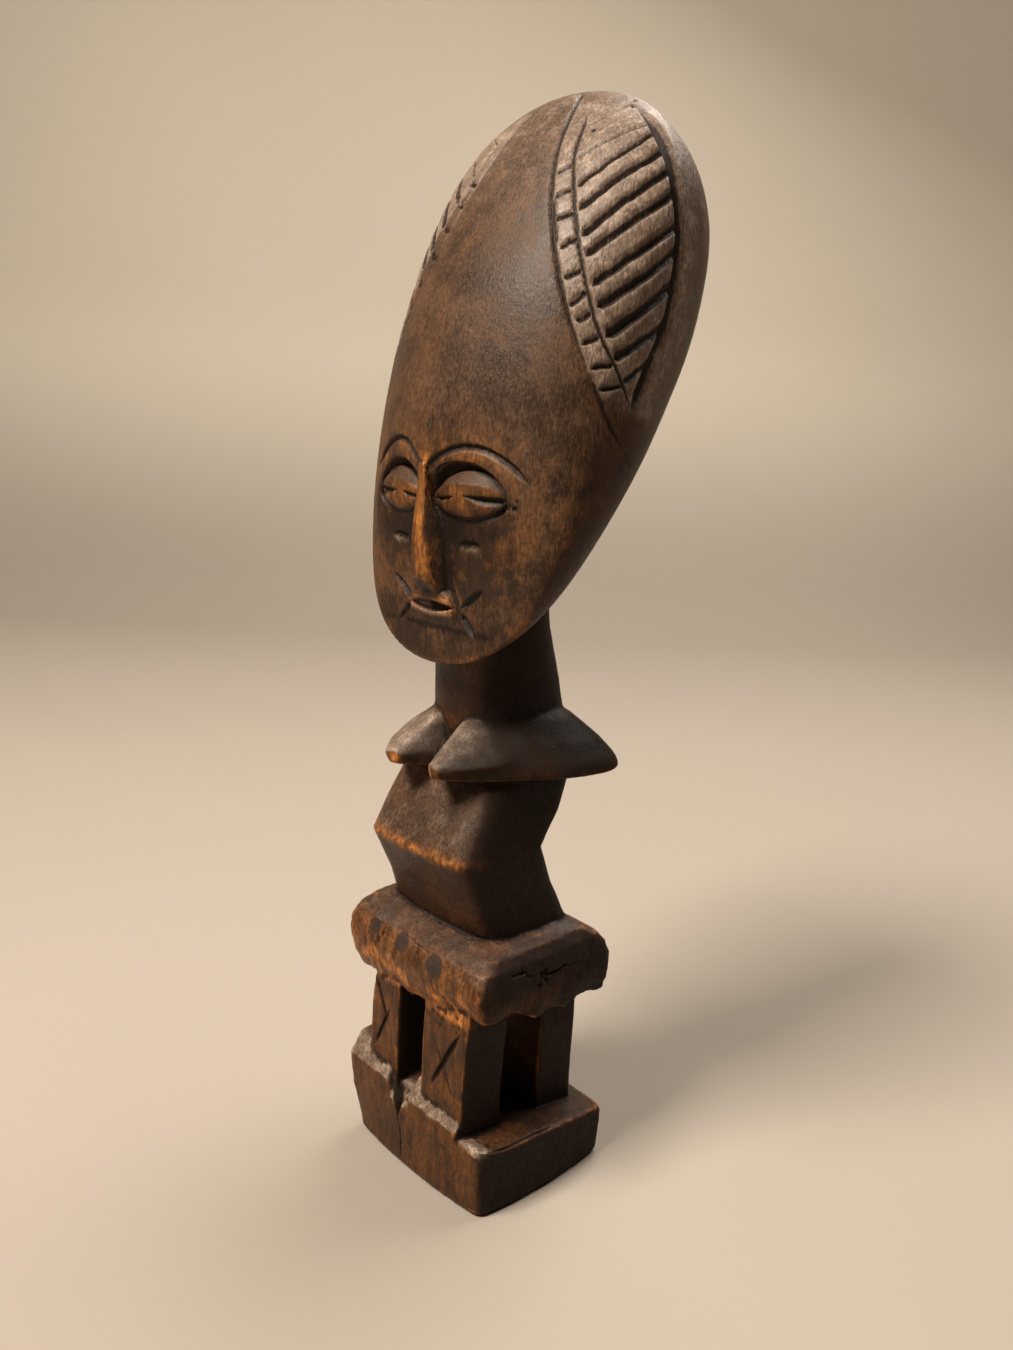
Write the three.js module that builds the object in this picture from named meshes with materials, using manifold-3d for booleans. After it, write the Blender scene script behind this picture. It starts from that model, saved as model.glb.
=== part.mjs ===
// Akuaba doll carved from one piece of dark wood: a tall leaning head on a round neck, a shoulder
// slab with two breasts, a torso bent at the waist, a seat slab on four legs and a base with feet.
// Millimetres, +Z up. The doll faces -Y, its own left is +X, and the origin is on the flat underside.
import * as THREE from 'three';
import { mergeVertices } from 'three/addons/utils/BufferGeometryUtils.js';
import Module from 'manifold-3d';

const wasm = await Module();
wasm.setup();

// Head. A swell is a sine series from chin to crown, so that both ends close round.
const HEAD_CHIN = { y: -20.7, z: 142.3 };
const HEAD_LEAN = THREE.MathUtils.degToRad(18);
const HEAD_LENGTH = 142.6;
const HEAD_HALF_WIDTH = [42.8, -1.8, 4.9];
const HEAD_FRONT_DEPTH = [18.9, -3.6, -3.2, -1.0];
const HEAD_BACK_DEPTH = [36.1, -10.5, -1.4, -0.8];
const HEAD_FRONT_POWER = 1.85;
const HEAD_BACK_POWER = 2.2;
const HEAD_RINGS = 24;
const HEAD_SIDES = 30;

// Hair panels, one on each side of the head. A line holds millimetres up from the chin and the side
// angle in degrees, which is 0 at the side and -90 at the face.
const PANEL_FRONT_LINE = [
  [57, 12], [64, -5], [73, -17], [84, -28], [98, -39], [111, -46], [124, -50], [138, -46],
];
const PANEL_COLUMN_LINE = [
  [67, 7], [75, -7], [87, -21], [99, -29], [111, -35], [122, -37], [131, -34],
];
const PANEL_BACK_LINE = [
  [67, 9], [82, 11], [95, 11], [106, 7], [114, 2], [122, -3], [130, -8], [136, -13],
];
const PANEL_GROOVES = 12;
const PANEL_THIN_GROOVES = 3;
const PANEL_THIN_SHARE = 0.6;
const PANEL_GROOVE_START = 72.4;
const PANEL_GROOVE_PITCH = 6.85;
const PANEL_GROOVE_RISE = 0.75;
const PANEL_GROOVE_WIDTH = 2.4;
const PANEL_GROOVE_DEPTH = 1.3;
const PANEL_GROOVE_GAP = 0.8;
const PANEL_LINE_WIDTH = 1.2;
const PANEL_LINE_DEPTH = 0.7;
const PANEL_BACK_LINE_WIDTH = 1.7;
const PANEL_BACK_LINE_DEPTH = 0.95;

// Face, in millimetres across from the midline and up from the chin.
const BROW = { inner: [0.4, 43.5], peak: [14, 49.4], outer: [28.5, 43], width: 1.3, depth: 0.9 };
const SOCKET = { across: 12.8, up: 38.4, halfWidth: 11.6, rise: 7.6, drop: 3.8, depth: 2.6, rim: 5 };
const EYE = { across: 12.8, up: 38, halfWidth: 10.8, rise: 6.4, drop: 4, swell: 2.7, rim: 2.4 };
const EYE_SLIT = { width: 1.5, depth: 1.2, sunk: 0.2 };
const NOSE = { top: 43.5, tip: 17.2, topHalf: 1.5, tipHalf: 5.4, topLift: 1.7, tipLift: 5.2, dip: 1.4 };
const NOSE_RIDGE = { half: 0.42, lift: 0.92 };
const MOUTH = { up: 12.8, halfWidth: 8, lipLift: 2.2, lipHeight: 2.3, lipSquareness: 0.7, lipFall: 0.6 };
const MOUTH_SLIT = { half: 6.4, width: 1.6, depth: 2 };
const FACE_SUNK = 2;
const FACE_CLEAR = 3;
const CHEEK_MARK = { from: [8.8, 28.2], to: [15.6, 28.0], width: 1.6, depth: 0.8 };
const CORNER_CUTS = [[[10, 14], [16.6, 19.2]], [[10.4, 13], [15, 8.4]]];
const CORNER_CUT_WIDTH = 1.8;
const CORNER_CUT_DEPTH = 0.9;

// Knife cuts: how far the cutter stands out of the surface, and how its ends pinch in.
const CUTTER_LIFT = 1;
const CUTTER_END_SHARE = 0.12;
const CUTTER_PINCH_RATE = 6;
const HEAD_CORE_SHARE = { across: 0.45, up: 0.95 };

// Body levels from the ground up: height, half width, front and back edge, squareness and slope.
const BASE_LEVELS = [
  { z: 0, half: 26.6, front: -22.2, back: 23.8, power: 4.4, backPower: 9 },
  { z: 1.5, half: 27.4, front: -22.9, back: 24.8, power: 4.8, backPower: 9 },
  { z: 15.8, half: 28.4, front: -23.8, back: 25, power: 6, backPower: 9, slope: -0.06 },
  { z: 18, half: 27.2, front: -22.6, back: 23.6, power: 6, backPower: 9, slope: -0.06 },
];
const FEET = [{ from: 1.6, to: 20.6, top: 27.4 }, { from: -28.4, to: -6.6, top: 29 }];
const FOOT_LEVELS = [
  { drop: 26, front: -20.6, trim: 3 },
  { drop: 18, front: -22.8, trim: 0.6 },
  { drop: 5, front: -24, trim: 0 },
  { drop: 0, front: -22.4, trim: 0.4 },
];
const FOOT_BACK = -12;
const LEG_ACROSS = [{ from: 2.4, to: 18.6 }, { from: -21.6, to: -7.6 }];
const LEG_ALONG = [{ from: -22.2, to: -8.2 }, { from: 5.6, to: 18.8 }];
const LEG_LEVELS = [
  { z: 15, swell: 0 },
  { z: 32, swell: 0.35 },
  { z: 40, swell: 0.7 },
  { z: 52, swell: 0 },
  { z: 58, swell: 0 },
];
const LEG_CROSS_CUTS = [
  { start: [0.86, 0.9], end: [0.16, 0.2], width: 2.4, depth: 1.5 },
  { start: [0.1, 0.82], end: [0.86, 0.14], width: 1.3, depth: 0.8 },
];
const SLAB_LEVELS = [
  { z: 50.4, half: 24.4, front: -19, back: 20, power: 9 },
  { z: 51, half: 27.8, front: -22.4, back: 23.2, power: 9, scallop: 1 },
  { z: 56, half: 28.6, front: -24.2, back: 23.4, power: 8, scallop: 0.4 },
  { z: 63.5, half: 28.8, front: -26, back: 23, power: 8 },
  { z: 68.6, half: 28.8, front: -26, back: 19.6, power: 7 },
  { z: 71.6, half: 28, front: -25, back: 15.4, power: 6 },
  { z: 73, half: 25.6, front: -22, back: 12, power: 5 },
];
const SLAB_SIDES = 64;
const SLAB_SCALLOPS = 16;
const SLAB_SCALLOP = { inward: 1.2, upward: 1.8 };
const TORSO_LEVELS = [
  { z: 64, half: 20.6, front: -13.8, back: 16.6, power: 5 },
  { z: 72, half: 21, front: -16, back: 15, power: 5 },
  { z: 83, half: 21, front: -19.6, back: 8.6, power: 5 },
  { z: 94.4, half: 21, front: -25.8, back: 4.4, power: 4.5 },
  { z: 103, half: 20.6, front: -21.6, back: 10.4, power: 5 },
  { z: 112, half: 19.6, front: -16.6, back: 14.6, power: 5 },
  { z: 120, half: 18, front: -13, back: 14, power: 4 },
];
const NECK_LEVELS = [
  { z: 114, half: 16, front: -13.2, back: 19.4, power: 2.3 },
  { z: 122, half: 16, front: -13, back: 19.4, power: 2.3 },
  { z: 129, half: 15.8, front: -13.2, back: 19, power: 2.3 },
  { z: 139, half: 15.2, front: -13.8, back: 16.4, power: 2.3 },
  { z: 150, half: 14.4, front: -14.4, back: 13.4, power: 2.3 },
  { z: 172, half: 13, front: -12, back: 11, power: 2.3 },
];

// Shoulder slab: plan outline of the rim on the doll's left, as angle from the front and distance.
const SHOULDER_CENTRE_Y = 2;
const SHOULDER_RIM = [
  [0, 20], [16, 26], [36, 25], [56, 24.6], [78, 26],
  [100, 30.6], [118, 33.6], [136, 28], [158, 22], [180, 20.5],
];
const SHOULDER_UNDER = [{ reach: 0.1, z: 112.6 }, { reach: 0.45, z: 114 }, { reach: 0.95, z: 115 }];
const SHOULDER_EDGE = [{ reach: 1, z: 116.7 }, { reach: 0.98, z: 118.4 }];
const SHOULDER_TOP = [{ reach: 0.66, rise: 0.56 }, { reach: 0.32, rise: 0.88 }, { reach: 0, rise: 1.08 }];
const SHOULDER_NECK_Z = [[0, 124], [30, 127], [60, 128.5], [90, 129], [135, 130], [180, 132]];
const BREAST_TIP = new THREE.Vector3(7.8, -26, 117);
const BREAST_ROOT = new THREE.Vector3(13.4, -4, 120.8);
const BREAST_ROOT_HALF = 12.4;
const BREAST_TIP_HALF = 2;
const BREAST_FLATNESS = 0.52;
const BREAST_SIDES = 12;
const BREAST_TAPER = 1.6;

const RING_SIDES = 24;
const LIMB_SIDES = 16;
const LIMB_POWER = 10;

function signedPower(value, power) {
  return Math.sign(value) * Math.abs(value) ** power;
}

function series(weights, angle) {
  return weights.reduce((sum, weight, index) => sum + weight * Math.sin((index + 1) * angle), 0);
}

// A closed skin over rings of equal length, with a fan over each end.
function loft(rings) {
  const sides = rings[0].length;
  const positions = rings.flat().flatMap((point) => point.toArray());
  const indices = [];
  for (let row = 0; row < rings.length - 1; row += 1) {
    for (let side = 0; side < sides; side += 1) {
      const a = row * sides + side;
      const b = row * sides + ((side + 1) % sides);
      indices.push(a, b, b + sides, a, b + sides, a + sides);
    }
  }
  for (const last of [false, true]) {
    const ring = last ? rings.at(-1) : rings[0];
    const first = last ? (rings.length - 1) * sides : 0;
    const centre = ring.reduce((sum, point) => sum.add(point), new THREE.Vector3()).divideScalar(sides);
    const hub = positions.length / 3;
    positions.push(...centre.toArray());
    for (let side = 0; side < sides; side += 1) {
      const a = first + side;
      const b = first + ((side + 1) % sides);
      indices.push(...(last ? [a, b, hub] : [b, a, hub]));
    }
  }
  const geometry = new THREE.BufferGeometry();
  geometry.setAttribute('position', new THREE.Float32BufferAttribute(positions, 3));
  geometry.setIndex(indices);
  return geometry;
}

// A solid for joining and cutting, turned the right way out if its skin runs clockwise.
function solid(geometry) {
  const bare = geometry.clone();
  bare.deleteAttribute('normal');
  bare.deleteAttribute('uv');
  const merged = mergeVertices(bare, 1e-4);
  const vertProperties = new Float32Array(merged.attributes.position.array);
  const triVerts = new Uint32Array(merged.index.array);
  const make = () => new wasm.Manifold(new wasm.Mesh({ numProp: 3, vertProperties, triVerts }));
  const body = make();
  if (body.volume() > 0) return body;
  for (let at = 0; at < triVerts.length; at += 3) {
    [triVerts[at], triVerts[at + 1]] = [triVerts[at + 1], triVerts[at]];
  }
  return make();
}

function union(bodies) {
  return bodies.reduce((whole, body) => whole.add(body));
}

// Rounded box section: a superellipse between the level's front and back edges.
function levelRing(level) {
  const middle = (level.front + level.back) / 2;
  const reach = (level.back - level.front) / 2;
  const sides = level.sides ?? RING_SIDES;
  return Array.from({ length: sides }, (_, side) => {
    const angle = ((side + 0.5) / sides) * 2 * Math.PI;
    const power = angle < Math.PI ? level.backPower ?? level.power : level.power;
    const x = (level.centre ?? 0) + level.half * signedPower(Math.cos(angle), 2 / power);
    const y = middle + reach * signedPower(Math.sin(angle), 2 / power);
    return new THREE.Vector3(x, y, level.z + (level.slope ?? 0) * y);
  });
}

function levelLoft(levels) {
  return solid(loft(levels.map(levelRing)));
}

function headSection(up, isFront) {
  const phase = Math.acos(1 - (2 * up) / HEAD_LENGTH);
  return {
    half: series(HEAD_HALF_WIDTH, phase),
    depth: series(isFront ? HEAD_FRONT_DEPTH : HEAD_BACK_DEPTH, phase),
    power: isFront ? HEAD_FRONT_POWER : HEAD_BACK_POWER,
  };
}

// Head surface: side angle in degrees (0 side, -90 face, 90 back) and millimetres up from the chin.
function headPoint(sideAngle, up) {
  const cosine = Math.cos(THREE.MathUtils.degToRad(sideAngle));
  const sine = Math.sin(THREE.MathUtils.degToRad(sideAngle));
  const { half, depth, power } = headSection(up, sine < 0);
  const reach = (Math.abs(cosine / half) ** power + Math.abs(sine / depth) ** power) ** (-1 / power);
  return headToWorld(reach * cosine, up, reach * sine);
}

function headToWorld(across, up, behind) {
  const sine = Math.sin(HEAD_LEAN);
  const cosine = Math.cos(HEAD_LEAN);
  return new THREE.Vector3(
    across,
    HEAD_CHIN.y + up * sine + behind * cosine,
    HEAD_CHIN.z + up * cosine - behind * sine,
  );
}

// Face surface, by millimetres across and up, lifted forward out of the face.
function facePoint(across, up, lift = 0) {
  const { half, depth, power } = headSection(up, true);
  const reach = depth * (1 - (Math.abs(across) / half) ** power) ** (1 / power);
  return headToWorld(across, up, -reach - lift);
}

function headBlank() {
  const rings = [];
  for (let ring = 1; ring < HEAD_RINGS; ring += 1) {
    const up = (HEAD_LENGTH * (1 - Math.cos((ring / HEAD_RINGS) * Math.PI))) / 2;
    const points = [];
    for (let side = 0; side < HEAD_SIDES; side += 1) {
      const angle = ((side + 0.5) / HEAD_SIDES) * 2 * Math.PI;
      const { half, depth, power } = headSection(up, angle > Math.PI);
      const across = half * signedPower(Math.cos(angle), 2 / power);
      points.push(headToWorld(across, up, depth * signedPower(Math.sin(angle), 2 / power)));
    }
    rings.push(points);
  }
  return solid(loft(rings));
}

// V-shaped cutter along a line of surface points, pinched at both ends.
function vCutter(points, centre, width, depth) {
  const rings = points.map((point, index) => {
    const before = points[Math.max(index - 1, 0)];
    const after = points[Math.min(index + 1, points.length - 1)];
    const along = after.clone().sub(before).normalize();
    const out = point.clone().sub(centre(point)).normalize();
    const side = along.clone().cross(out).normalize();
    const normal = side.clone().cross(along).normalize();
    const share = index / (points.length - 1);
    const pinch = Math.min(1, CUTTER_PINCH_RATE * share, CUTTER_PINCH_RATE * (1 - share));
    const size = CUTTER_END_SHARE + (1 - CUTTER_END_SHARE) * pinch;
    const rim = (width / 2) * (1 + CUTTER_LIFT / depth) * size;
    return [
      point.clone().addScaledVector(normal, -depth * size),
      point.clone().addScaledVector(normal, CUTTER_LIFT).addScaledVector(side, rim),
      point.clone().addScaledVector(normal, CUTTER_LIFT).addScaledVector(side, -rim),
    ];
  });
  return solid(loft(rings));
}

// The point on the head's axis that a surface point faces away from.
function headCore(point) {
  const up = (point.z - HEAD_CHIN.z) * HEAD_CORE_SHARE.up;
  return headToWorld(point.x * HEAD_CORE_SHARE.across, up, 0);
}

function samples(count, place) {
  return Array.from({ length: count + 1 }, (_, index) => place(index / count));
}

// Smooth line through [along, value] pairs, level beyond its ends.
function lineAt(pairs, along) {
  const last = pairs.length - 1;
  const read = THREE.MathUtils.clamp(along, pairs[0][0], pairs[last][0]);
  const at = THREE.MathUtils.clamp(pairs.findLastIndex((pair) => pair[0] <= read), 0, last - 1);
  const [a, b] = [pairs[at], pairs[at + 1]];
  const slopeAt = (index) => {
    const low = pairs[Math.max(index - 1, 0)];
    const high = pairs[Math.min(index + 1, last)];
    return (high[1] - low[1]) / (high[0] - low[0]);
  };
  const span = b[0] - a[0];
  const t = (read - a[0]) / span;
  const rise = 2 * t ** 3 - 3 * t ** 2;
  return (
    (rise + 1) * a[1] + (t ** 3 - 2 * t ** 2 + t) * span * slopeAt(at)
    - rise * b[1] + (t ** 3 - t ** 2) * span * slopeAt(at + 1)
  );
}

function mirrored(point, side) {
  return point.setX(point.x * side);
}

// Side angle at which a slanting groove meets a panel line, closed in on by small steps.
function grooveEnd(level, line) {
  const steps = 40;
  const stepShare = 0.3;
  let angle = 0;
  for (let step = 0; step < steps; step += 1) {
    angle += stepShare * (lineAt(line, level + PANEL_GROOVE_RISE * angle) - angle);
  }
  return angle;
}

function panelCutters(side) {
  const lines = [];
  const addLine = (count, place, width, depth) => {
    const points = samples(count, (t) => mirrored(headPoint(...place(t)), side));
    lines.push(vCutter(points, headCore, width, depth));
  };
  const along = (line, from, to) => (t) => {
    const up = from + (to - from) * t;
    return [lineAt(line, up), up];
  };
  addLine(10, along(PANEL_FRONT_LINE, 57, 138), PANEL_LINE_WIDTH, PANEL_LINE_DEPTH);
  addLine(8, along(PANEL_COLUMN_LINE, 67, 131), PANEL_LINE_WIDTH, PANEL_LINE_DEPTH);
  addLine(9, along(PANEL_BACK_LINE, 67, 136), PANEL_BACK_LINE_WIDTH, PANEL_BACK_LINE_DEPTH);
  for (let groove = 0; groove < PANEL_GROOVES; groove += 1) {
    const level = PANEL_GROOVE_START + groove * PANEL_GROOVE_PITCH;
    const from = grooveEnd(level, PANEL_COLUMN_LINE) + PANEL_GROOVE_GAP;
    const to = grooveEnd(level, PANEL_BACK_LINE) - PANEL_GROOVE_GAP;
    const place = (t) => {
      const angle = from + (to - from) * t;
      return [angle, level + PANEL_GROOVE_RISE * angle];
    };
    const share = groove < PANEL_GROOVES - PANEL_THIN_GROOVES ? 1 : PANEL_THIN_SHARE;
    addLine(2, place, PANEL_GROOVE_WIDTH * share, PANEL_GROOVE_DEPTH * share);
  }
  return lines;
}

// Patch on the face: rings of a rounded outline between a lower and an upper lift.
function facePatch(outline, lower, upper) {
  const rows = 4;
  const around = 16;
  const hub = 0.35;
  const skin = (share, height) => Array.from({ length: around }, (_, index) => {
    const [across, up] = outline((index / around) * 2 * Math.PI, share);
    return facePoint(across, up, height(share));
  });
  const shares = Array.from({ length: rows }, (_, row) => (row + hub) / (rows - 1 + hub));
  const rings = [
    ...shares.map((share) => skin(share, lower)),
    ...shares.toReversed().map((share) => skin(share, upper)),
  ];
  return solid(loft(rings));
}

function eyeOutline(shape, side) {
  return (angle, share) => {
    const height = Math.sin(angle) > 0 ? shape.rise : shape.drop;
    return [
      side * (shape.across + shape.halfWidth * share * Math.cos(angle)),
      shape.up + height * share * Math.sin(angle),
    ];
  };
}

function faceLine(pairs, side, width, depth, lift = 0) {
  const points = pairs.map(([across, up]) => facePoint(side * across, up, lift));
  return vCutter(points, headCore, width, depth);
}

function browLine(side) {
  const curve = new THREE.QuadraticBezierCurve(
    new THREE.Vector2(...BROW.inner),
    new THREE.Vector2(BROW.peak[0], 2 * BROW.peak[1] - (BROW.inner[1] + BROW.outer[1]) / 2),
    new THREE.Vector2(...BROW.outer),
  );
  return faceLine(curve.getPoints(12).map((point) => point.toArray()), side, BROW.width, BROW.depth);
}

function noseWedge() {
  const rings = samples(6, (t) => {
    const up = NOSE.tip + (NOSE.top - NOSE.tip) * t;
    const half = NOSE.tipHalf + (NOSE.topHalf - NOSE.tipHalf) * t;
    const lift = NOSE.tipLift + (NOSE.topLift - NOSE.tipLift) * t ** NOSE.dip;
    return [
      facePoint(half, up, -FACE_SUNK),
      facePoint(half * NOSE_RIDGE.half, up, lift * NOSE_RIDGE.lift),
      facePoint(0, up, lift),
      facePoint(-half * NOSE_RIDGE.half, up, lift * NOSE_RIDGE.lift),
      facePoint(-half, up, -FACE_SUNK),
    ];
  });
  return solid(loft(rings));
}

function lipRidges() {
  const outline = (angle, share) => [
    MOUTH.halfWidth * share * signedPower(Math.cos(angle), MOUTH.lipSquareness),
    MOUTH.up + MOUTH.lipHeight * share * Math.sin(angle),
  ];
  return facePatch(outline, () => -FACE_SUNK, (share) => MOUTH.lipLift * (1 - MOUTH.lipFall * share ** 2));
}

function faceAdditions() {
  const eyes = [1, -1].map((side) => facePatch(
    eyeOutline(EYE, side),
    () => -SOCKET.depth - FACE_SUNK,
    (share) => EYE.swell * (1 - share ** EYE.rim) - SOCKET.depth,
  ));
  return union([noseWedge(), lipRidges(), ...eyes]);
}

function socketCutters() {
  return [1, -1].map((side) => facePatch(
    eyeOutline(SOCKET, side),
    (share) => -SOCKET.depth * (1 - share ** SOCKET.rim),
    () => FACE_CLEAR,
  ));
}

function faceCutters() {
  const mouthSlit = samples(6, (t) => [MOUTH_SLIT.half * (2 * t - 1), MOUTH.up]);
  const cutters = [faceLine(mouthSlit, 1, MOUTH_SLIT.width, MOUTH_SLIT.depth, MOUTH.lipLift)];
  const mix = (from, to) => (t) => [from[0] + (to[0] - from[0]) * t, from[1] + (to[1] - from[1]) * t];
  for (const side of [1, -1]) {
    cutters.push(browLine(side));
    const { from, to, width, depth } = CHEEK_MARK;
    cutters.push(faceLine(samples(3, mix(from, to)), side, width, depth));
    for (const [start, end] of CORNER_CUTS) {
      cutters.push(faceLine(samples(3, mix(start, end)), side, CORNER_CUT_WIDTH, CORNER_CUT_DEPTH));
    }
    const slit = samples(8, mix([EYE.across - EYE.halfWidth, EYE.up], [EYE.across + EYE.halfWidth, EYE.up]));
    const slitLift = EYE.swell - SOCKET.depth - EYE_SLIT.sunk;
    cutters.push(faceLine(slit, side, EYE_SLIT.width, EYE_SLIT.depth, slitLift));
  }
  return cutters;
}

function head() {
  const faced = headBlank().subtract(union(socketCutters())).add(faceAdditions());
  const cutters = [...panelCutters(1), ...panelCutters(-1), ...faceCutters()];
  return faced.subtract(union(cutters));
}

function shoulders() {
  const sides = 28;
  const inner = NECK_LEVELS[2].half - 1;
  const edgeZ = SHOULDER_EDGE.at(-1).z;
  const levels = [...SHOULDER_UNDER, ...SHOULDER_EDGE, ...SHOULDER_TOP];
  return solid(loft(levels.map((level) => Array.from({ length: sides }, (_, side) => {
    const turn = (side / sides) * 360;
    const angle = THREE.MathUtils.degToRad(turn);
    const away = Math.min(turn, 360 - turn);
    const reach = inner + (lineAt(SHOULDER_RIM, away) - inner) * level.reach;
    const z = level.z ?? edgeZ + (lineAt(SHOULDER_NECK_Z, away) - edgeZ) * level.rise;
    return new THREE.Vector3(reach * Math.sin(angle), SHOULDER_CENTRE_Y - reach * Math.cos(angle), z);
  }))));
}

function breast(side) {
  const rings = samples(5, (t) => {
    const centre = BREAST_ROOT.clone().lerp(BREAST_TIP, t);
    const half = BREAST_ROOT_HALF + (BREAST_TIP_HALF - BREAST_ROOT_HALF) * t ** BREAST_TAPER;
    return Array.from({ length: BREAST_SIDES }, (_, index) => {
      const angle = (index / BREAST_SIDES) * 2 * Math.PI;
      const rise = half * BREAST_FLATNESS * Math.sin(angle);
      return mirrored(centre.clone().add(new THREE.Vector3(half * Math.cos(angle), 0, rise)), side);
    });
  });
  return solid(loft(rings));
}

function legs() {
  const bodies = [];
  for (const across of LEG_ACROSS) {
    for (const along of LEG_ALONG) {
      bodies.push(levelLoft(LEG_LEVELS.map(({ z, swell }) => ({
        z,
        half: (across.to - across.from) / 2 + swell,
        centre: (across.to + across.from) / 2,
        front: along.from - swell,
        back: along.to + swell,
        power: LIMB_POWER,
        sides: LIMB_SIDES,
      }))));
    }
  }
  return union(bodies);
}

// Crossed cuts on the front face of each front leg, in shares of its width and open height.
function legCutters() {
  const cutters = [];
  const bottom = FEET[0].top;
  const height = SLAB_LEVELS[0].z - bottom;
  const front = LEG_ALONG[0].from - LEG_LEVELS[1].swell;
  for (const { from, to } of LEG_ACROSS) {
    for (const { start, end, width, depth } of LEG_CROSS_CUTS) {
      const points = samples(4, (t) => new THREE.Vector3(
        from + (to - from) * (start[0] + (end[0] - start[0]) * t),
        front,
        bottom + height * (start[1] + (end[1] - start[1]) * t),
      ));
      const core = (point) => point.clone().setY(0);
      cutters.push(vCutter(points, core, width, depth));
    }
  }
  return union(cutters);
}

function feet() {
  return union(FEET.map(({ from, to, top }) => levelLoft(FOOT_LEVELS.map(({ drop, front, trim }) => ({
    z: top - drop,
    half: (to - from) / 2 - trim,
    centre: (to + from) / 2,
    front,
    back: FOOT_BACK,
    power: LIMB_POWER,
    sides: LIMB_SIDES,
  })))));
}

// Seat slab, whose lower edge is scalloped all round by shallow scoops with a point between them.
function seat() {
  return solid(loft(SLAB_LEVELS.map((level) => {
    const middle = (level.front + level.back) / 2;
    const halfDepth = (level.back - level.front) / 2;
    return Array.from({ length: SLAB_SIDES }, (_, side) => {
      const angle = (side / SLAB_SIDES) * 2 * Math.PI;
      const [cosine, sine] = [Math.cos(angle), Math.sin(angle)];
      const [across, along] = [Math.abs(cosine / level.half), Math.abs(sine / halfDepth)];
      const scoop = (level.scallop ?? 0) * Math.abs(Math.sin((SLAB_SCALLOPS * angle) / 2));
      const edge = (across ** level.power + along ** level.power) ** (-1 / level.power);
      const reach = edge - SLAB_SCALLOP.inward * scoop;
      return new THREE.Vector3(reach * cosine, middle + reach * sine, level.z + SLAB_SCALLOP.upward * scoop);
    });
  })));
}

function doll() {
  const lower = union([levelLoft(BASE_LEVELS), feet(), legs(), seat()]).subtract(legCutters());
  const upper = union([levelLoft(TORSO_LEVELS), shoulders(), breast(1), breast(-1), levelLoft(NECK_LEVELS)]);
  return union([lower, upper, head()]);
}

function toMesh(body, name, material) {
  const { vertProperties, triVerts } = body.getMesh();
  const geometry = new THREE.BufferGeometry();
  geometry.setAttribute('position', new THREE.BufferAttribute(vertProperties, 3));
  geometry.setIndex(new THREE.BufferAttribute(triVerts, 1));
  geometry.computeVertexNormals();
  const mesh = new THREE.Mesh(geometry, material);
  mesh.name = name;
  return mesh;
}

const darkWood = new THREE.MeshStandardMaterial({ color: 0x4a3220, roughness: 0.55, metalness: 0 });

const group = new THREE.Group();
group.add(toMesh(doll(), 'akuaba_doll', darkWood));
export default group;
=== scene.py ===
# Akuaba doll carved from one piece of dark wood: its carved surface, worn finish, floor, light and camera.
# Shapes are worked out in millimetres. The doll faces -Y, its own left is +X, and +Z is up.
import math

import bmesh
import bpy
import numpy as np
from mathutils import Matrix, Vector
from mathutils.kdtree import KDTree


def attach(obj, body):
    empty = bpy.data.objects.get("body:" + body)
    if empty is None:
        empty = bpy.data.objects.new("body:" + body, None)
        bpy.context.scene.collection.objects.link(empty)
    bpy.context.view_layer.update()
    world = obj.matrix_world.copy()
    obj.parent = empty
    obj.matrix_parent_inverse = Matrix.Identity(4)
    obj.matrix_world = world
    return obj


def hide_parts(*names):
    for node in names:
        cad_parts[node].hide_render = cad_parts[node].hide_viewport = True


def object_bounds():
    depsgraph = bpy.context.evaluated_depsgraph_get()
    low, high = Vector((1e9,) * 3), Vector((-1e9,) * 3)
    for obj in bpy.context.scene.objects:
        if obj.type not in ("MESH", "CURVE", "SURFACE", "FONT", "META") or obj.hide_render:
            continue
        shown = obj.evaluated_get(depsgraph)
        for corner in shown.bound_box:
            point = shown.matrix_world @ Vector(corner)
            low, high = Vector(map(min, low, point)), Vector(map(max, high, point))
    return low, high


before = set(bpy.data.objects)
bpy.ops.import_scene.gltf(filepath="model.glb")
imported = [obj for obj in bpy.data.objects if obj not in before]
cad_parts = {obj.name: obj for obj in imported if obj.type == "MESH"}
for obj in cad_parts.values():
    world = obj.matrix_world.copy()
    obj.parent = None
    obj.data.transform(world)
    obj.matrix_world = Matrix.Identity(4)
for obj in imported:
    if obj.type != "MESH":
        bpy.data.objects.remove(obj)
cad_low, cad_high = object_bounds()

MM = 0.001
GRID_STEP = 0.6
LOW_CORNER = (-42.0, -30.0, -1.6)
HIGH_CORNER = (42.0, 54.0, 281.5)
CELL_CORNERS = list(np.ndindex(2, 2, 2))
FAR = 50.0
MAX_TRIANGLES = 197000
SEED = 7
JOIN_BLEND = 1.0
PROBE = 0.15

# Head. A swell is a sine series from chin to crown, so that both ends close round.
HEAD_CHIN = (-20.7, 142.3)
HEAD_LEAN = math.radians(18)
HEAD_LENGTH = 142.6
HEAD_HALF_WIDTH = (42.8, -1.8, 4.9)
HEAD_FRONT_DEPTH = (18.9, -3.6, -3.2, -1.0)
HEAD_BACK_DEPTH = (36.1, -10.5, -1.4, -0.8)
HEAD_FRONT_POWER = 1.85
HEAD_BACK_POWER = 2.2

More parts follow.
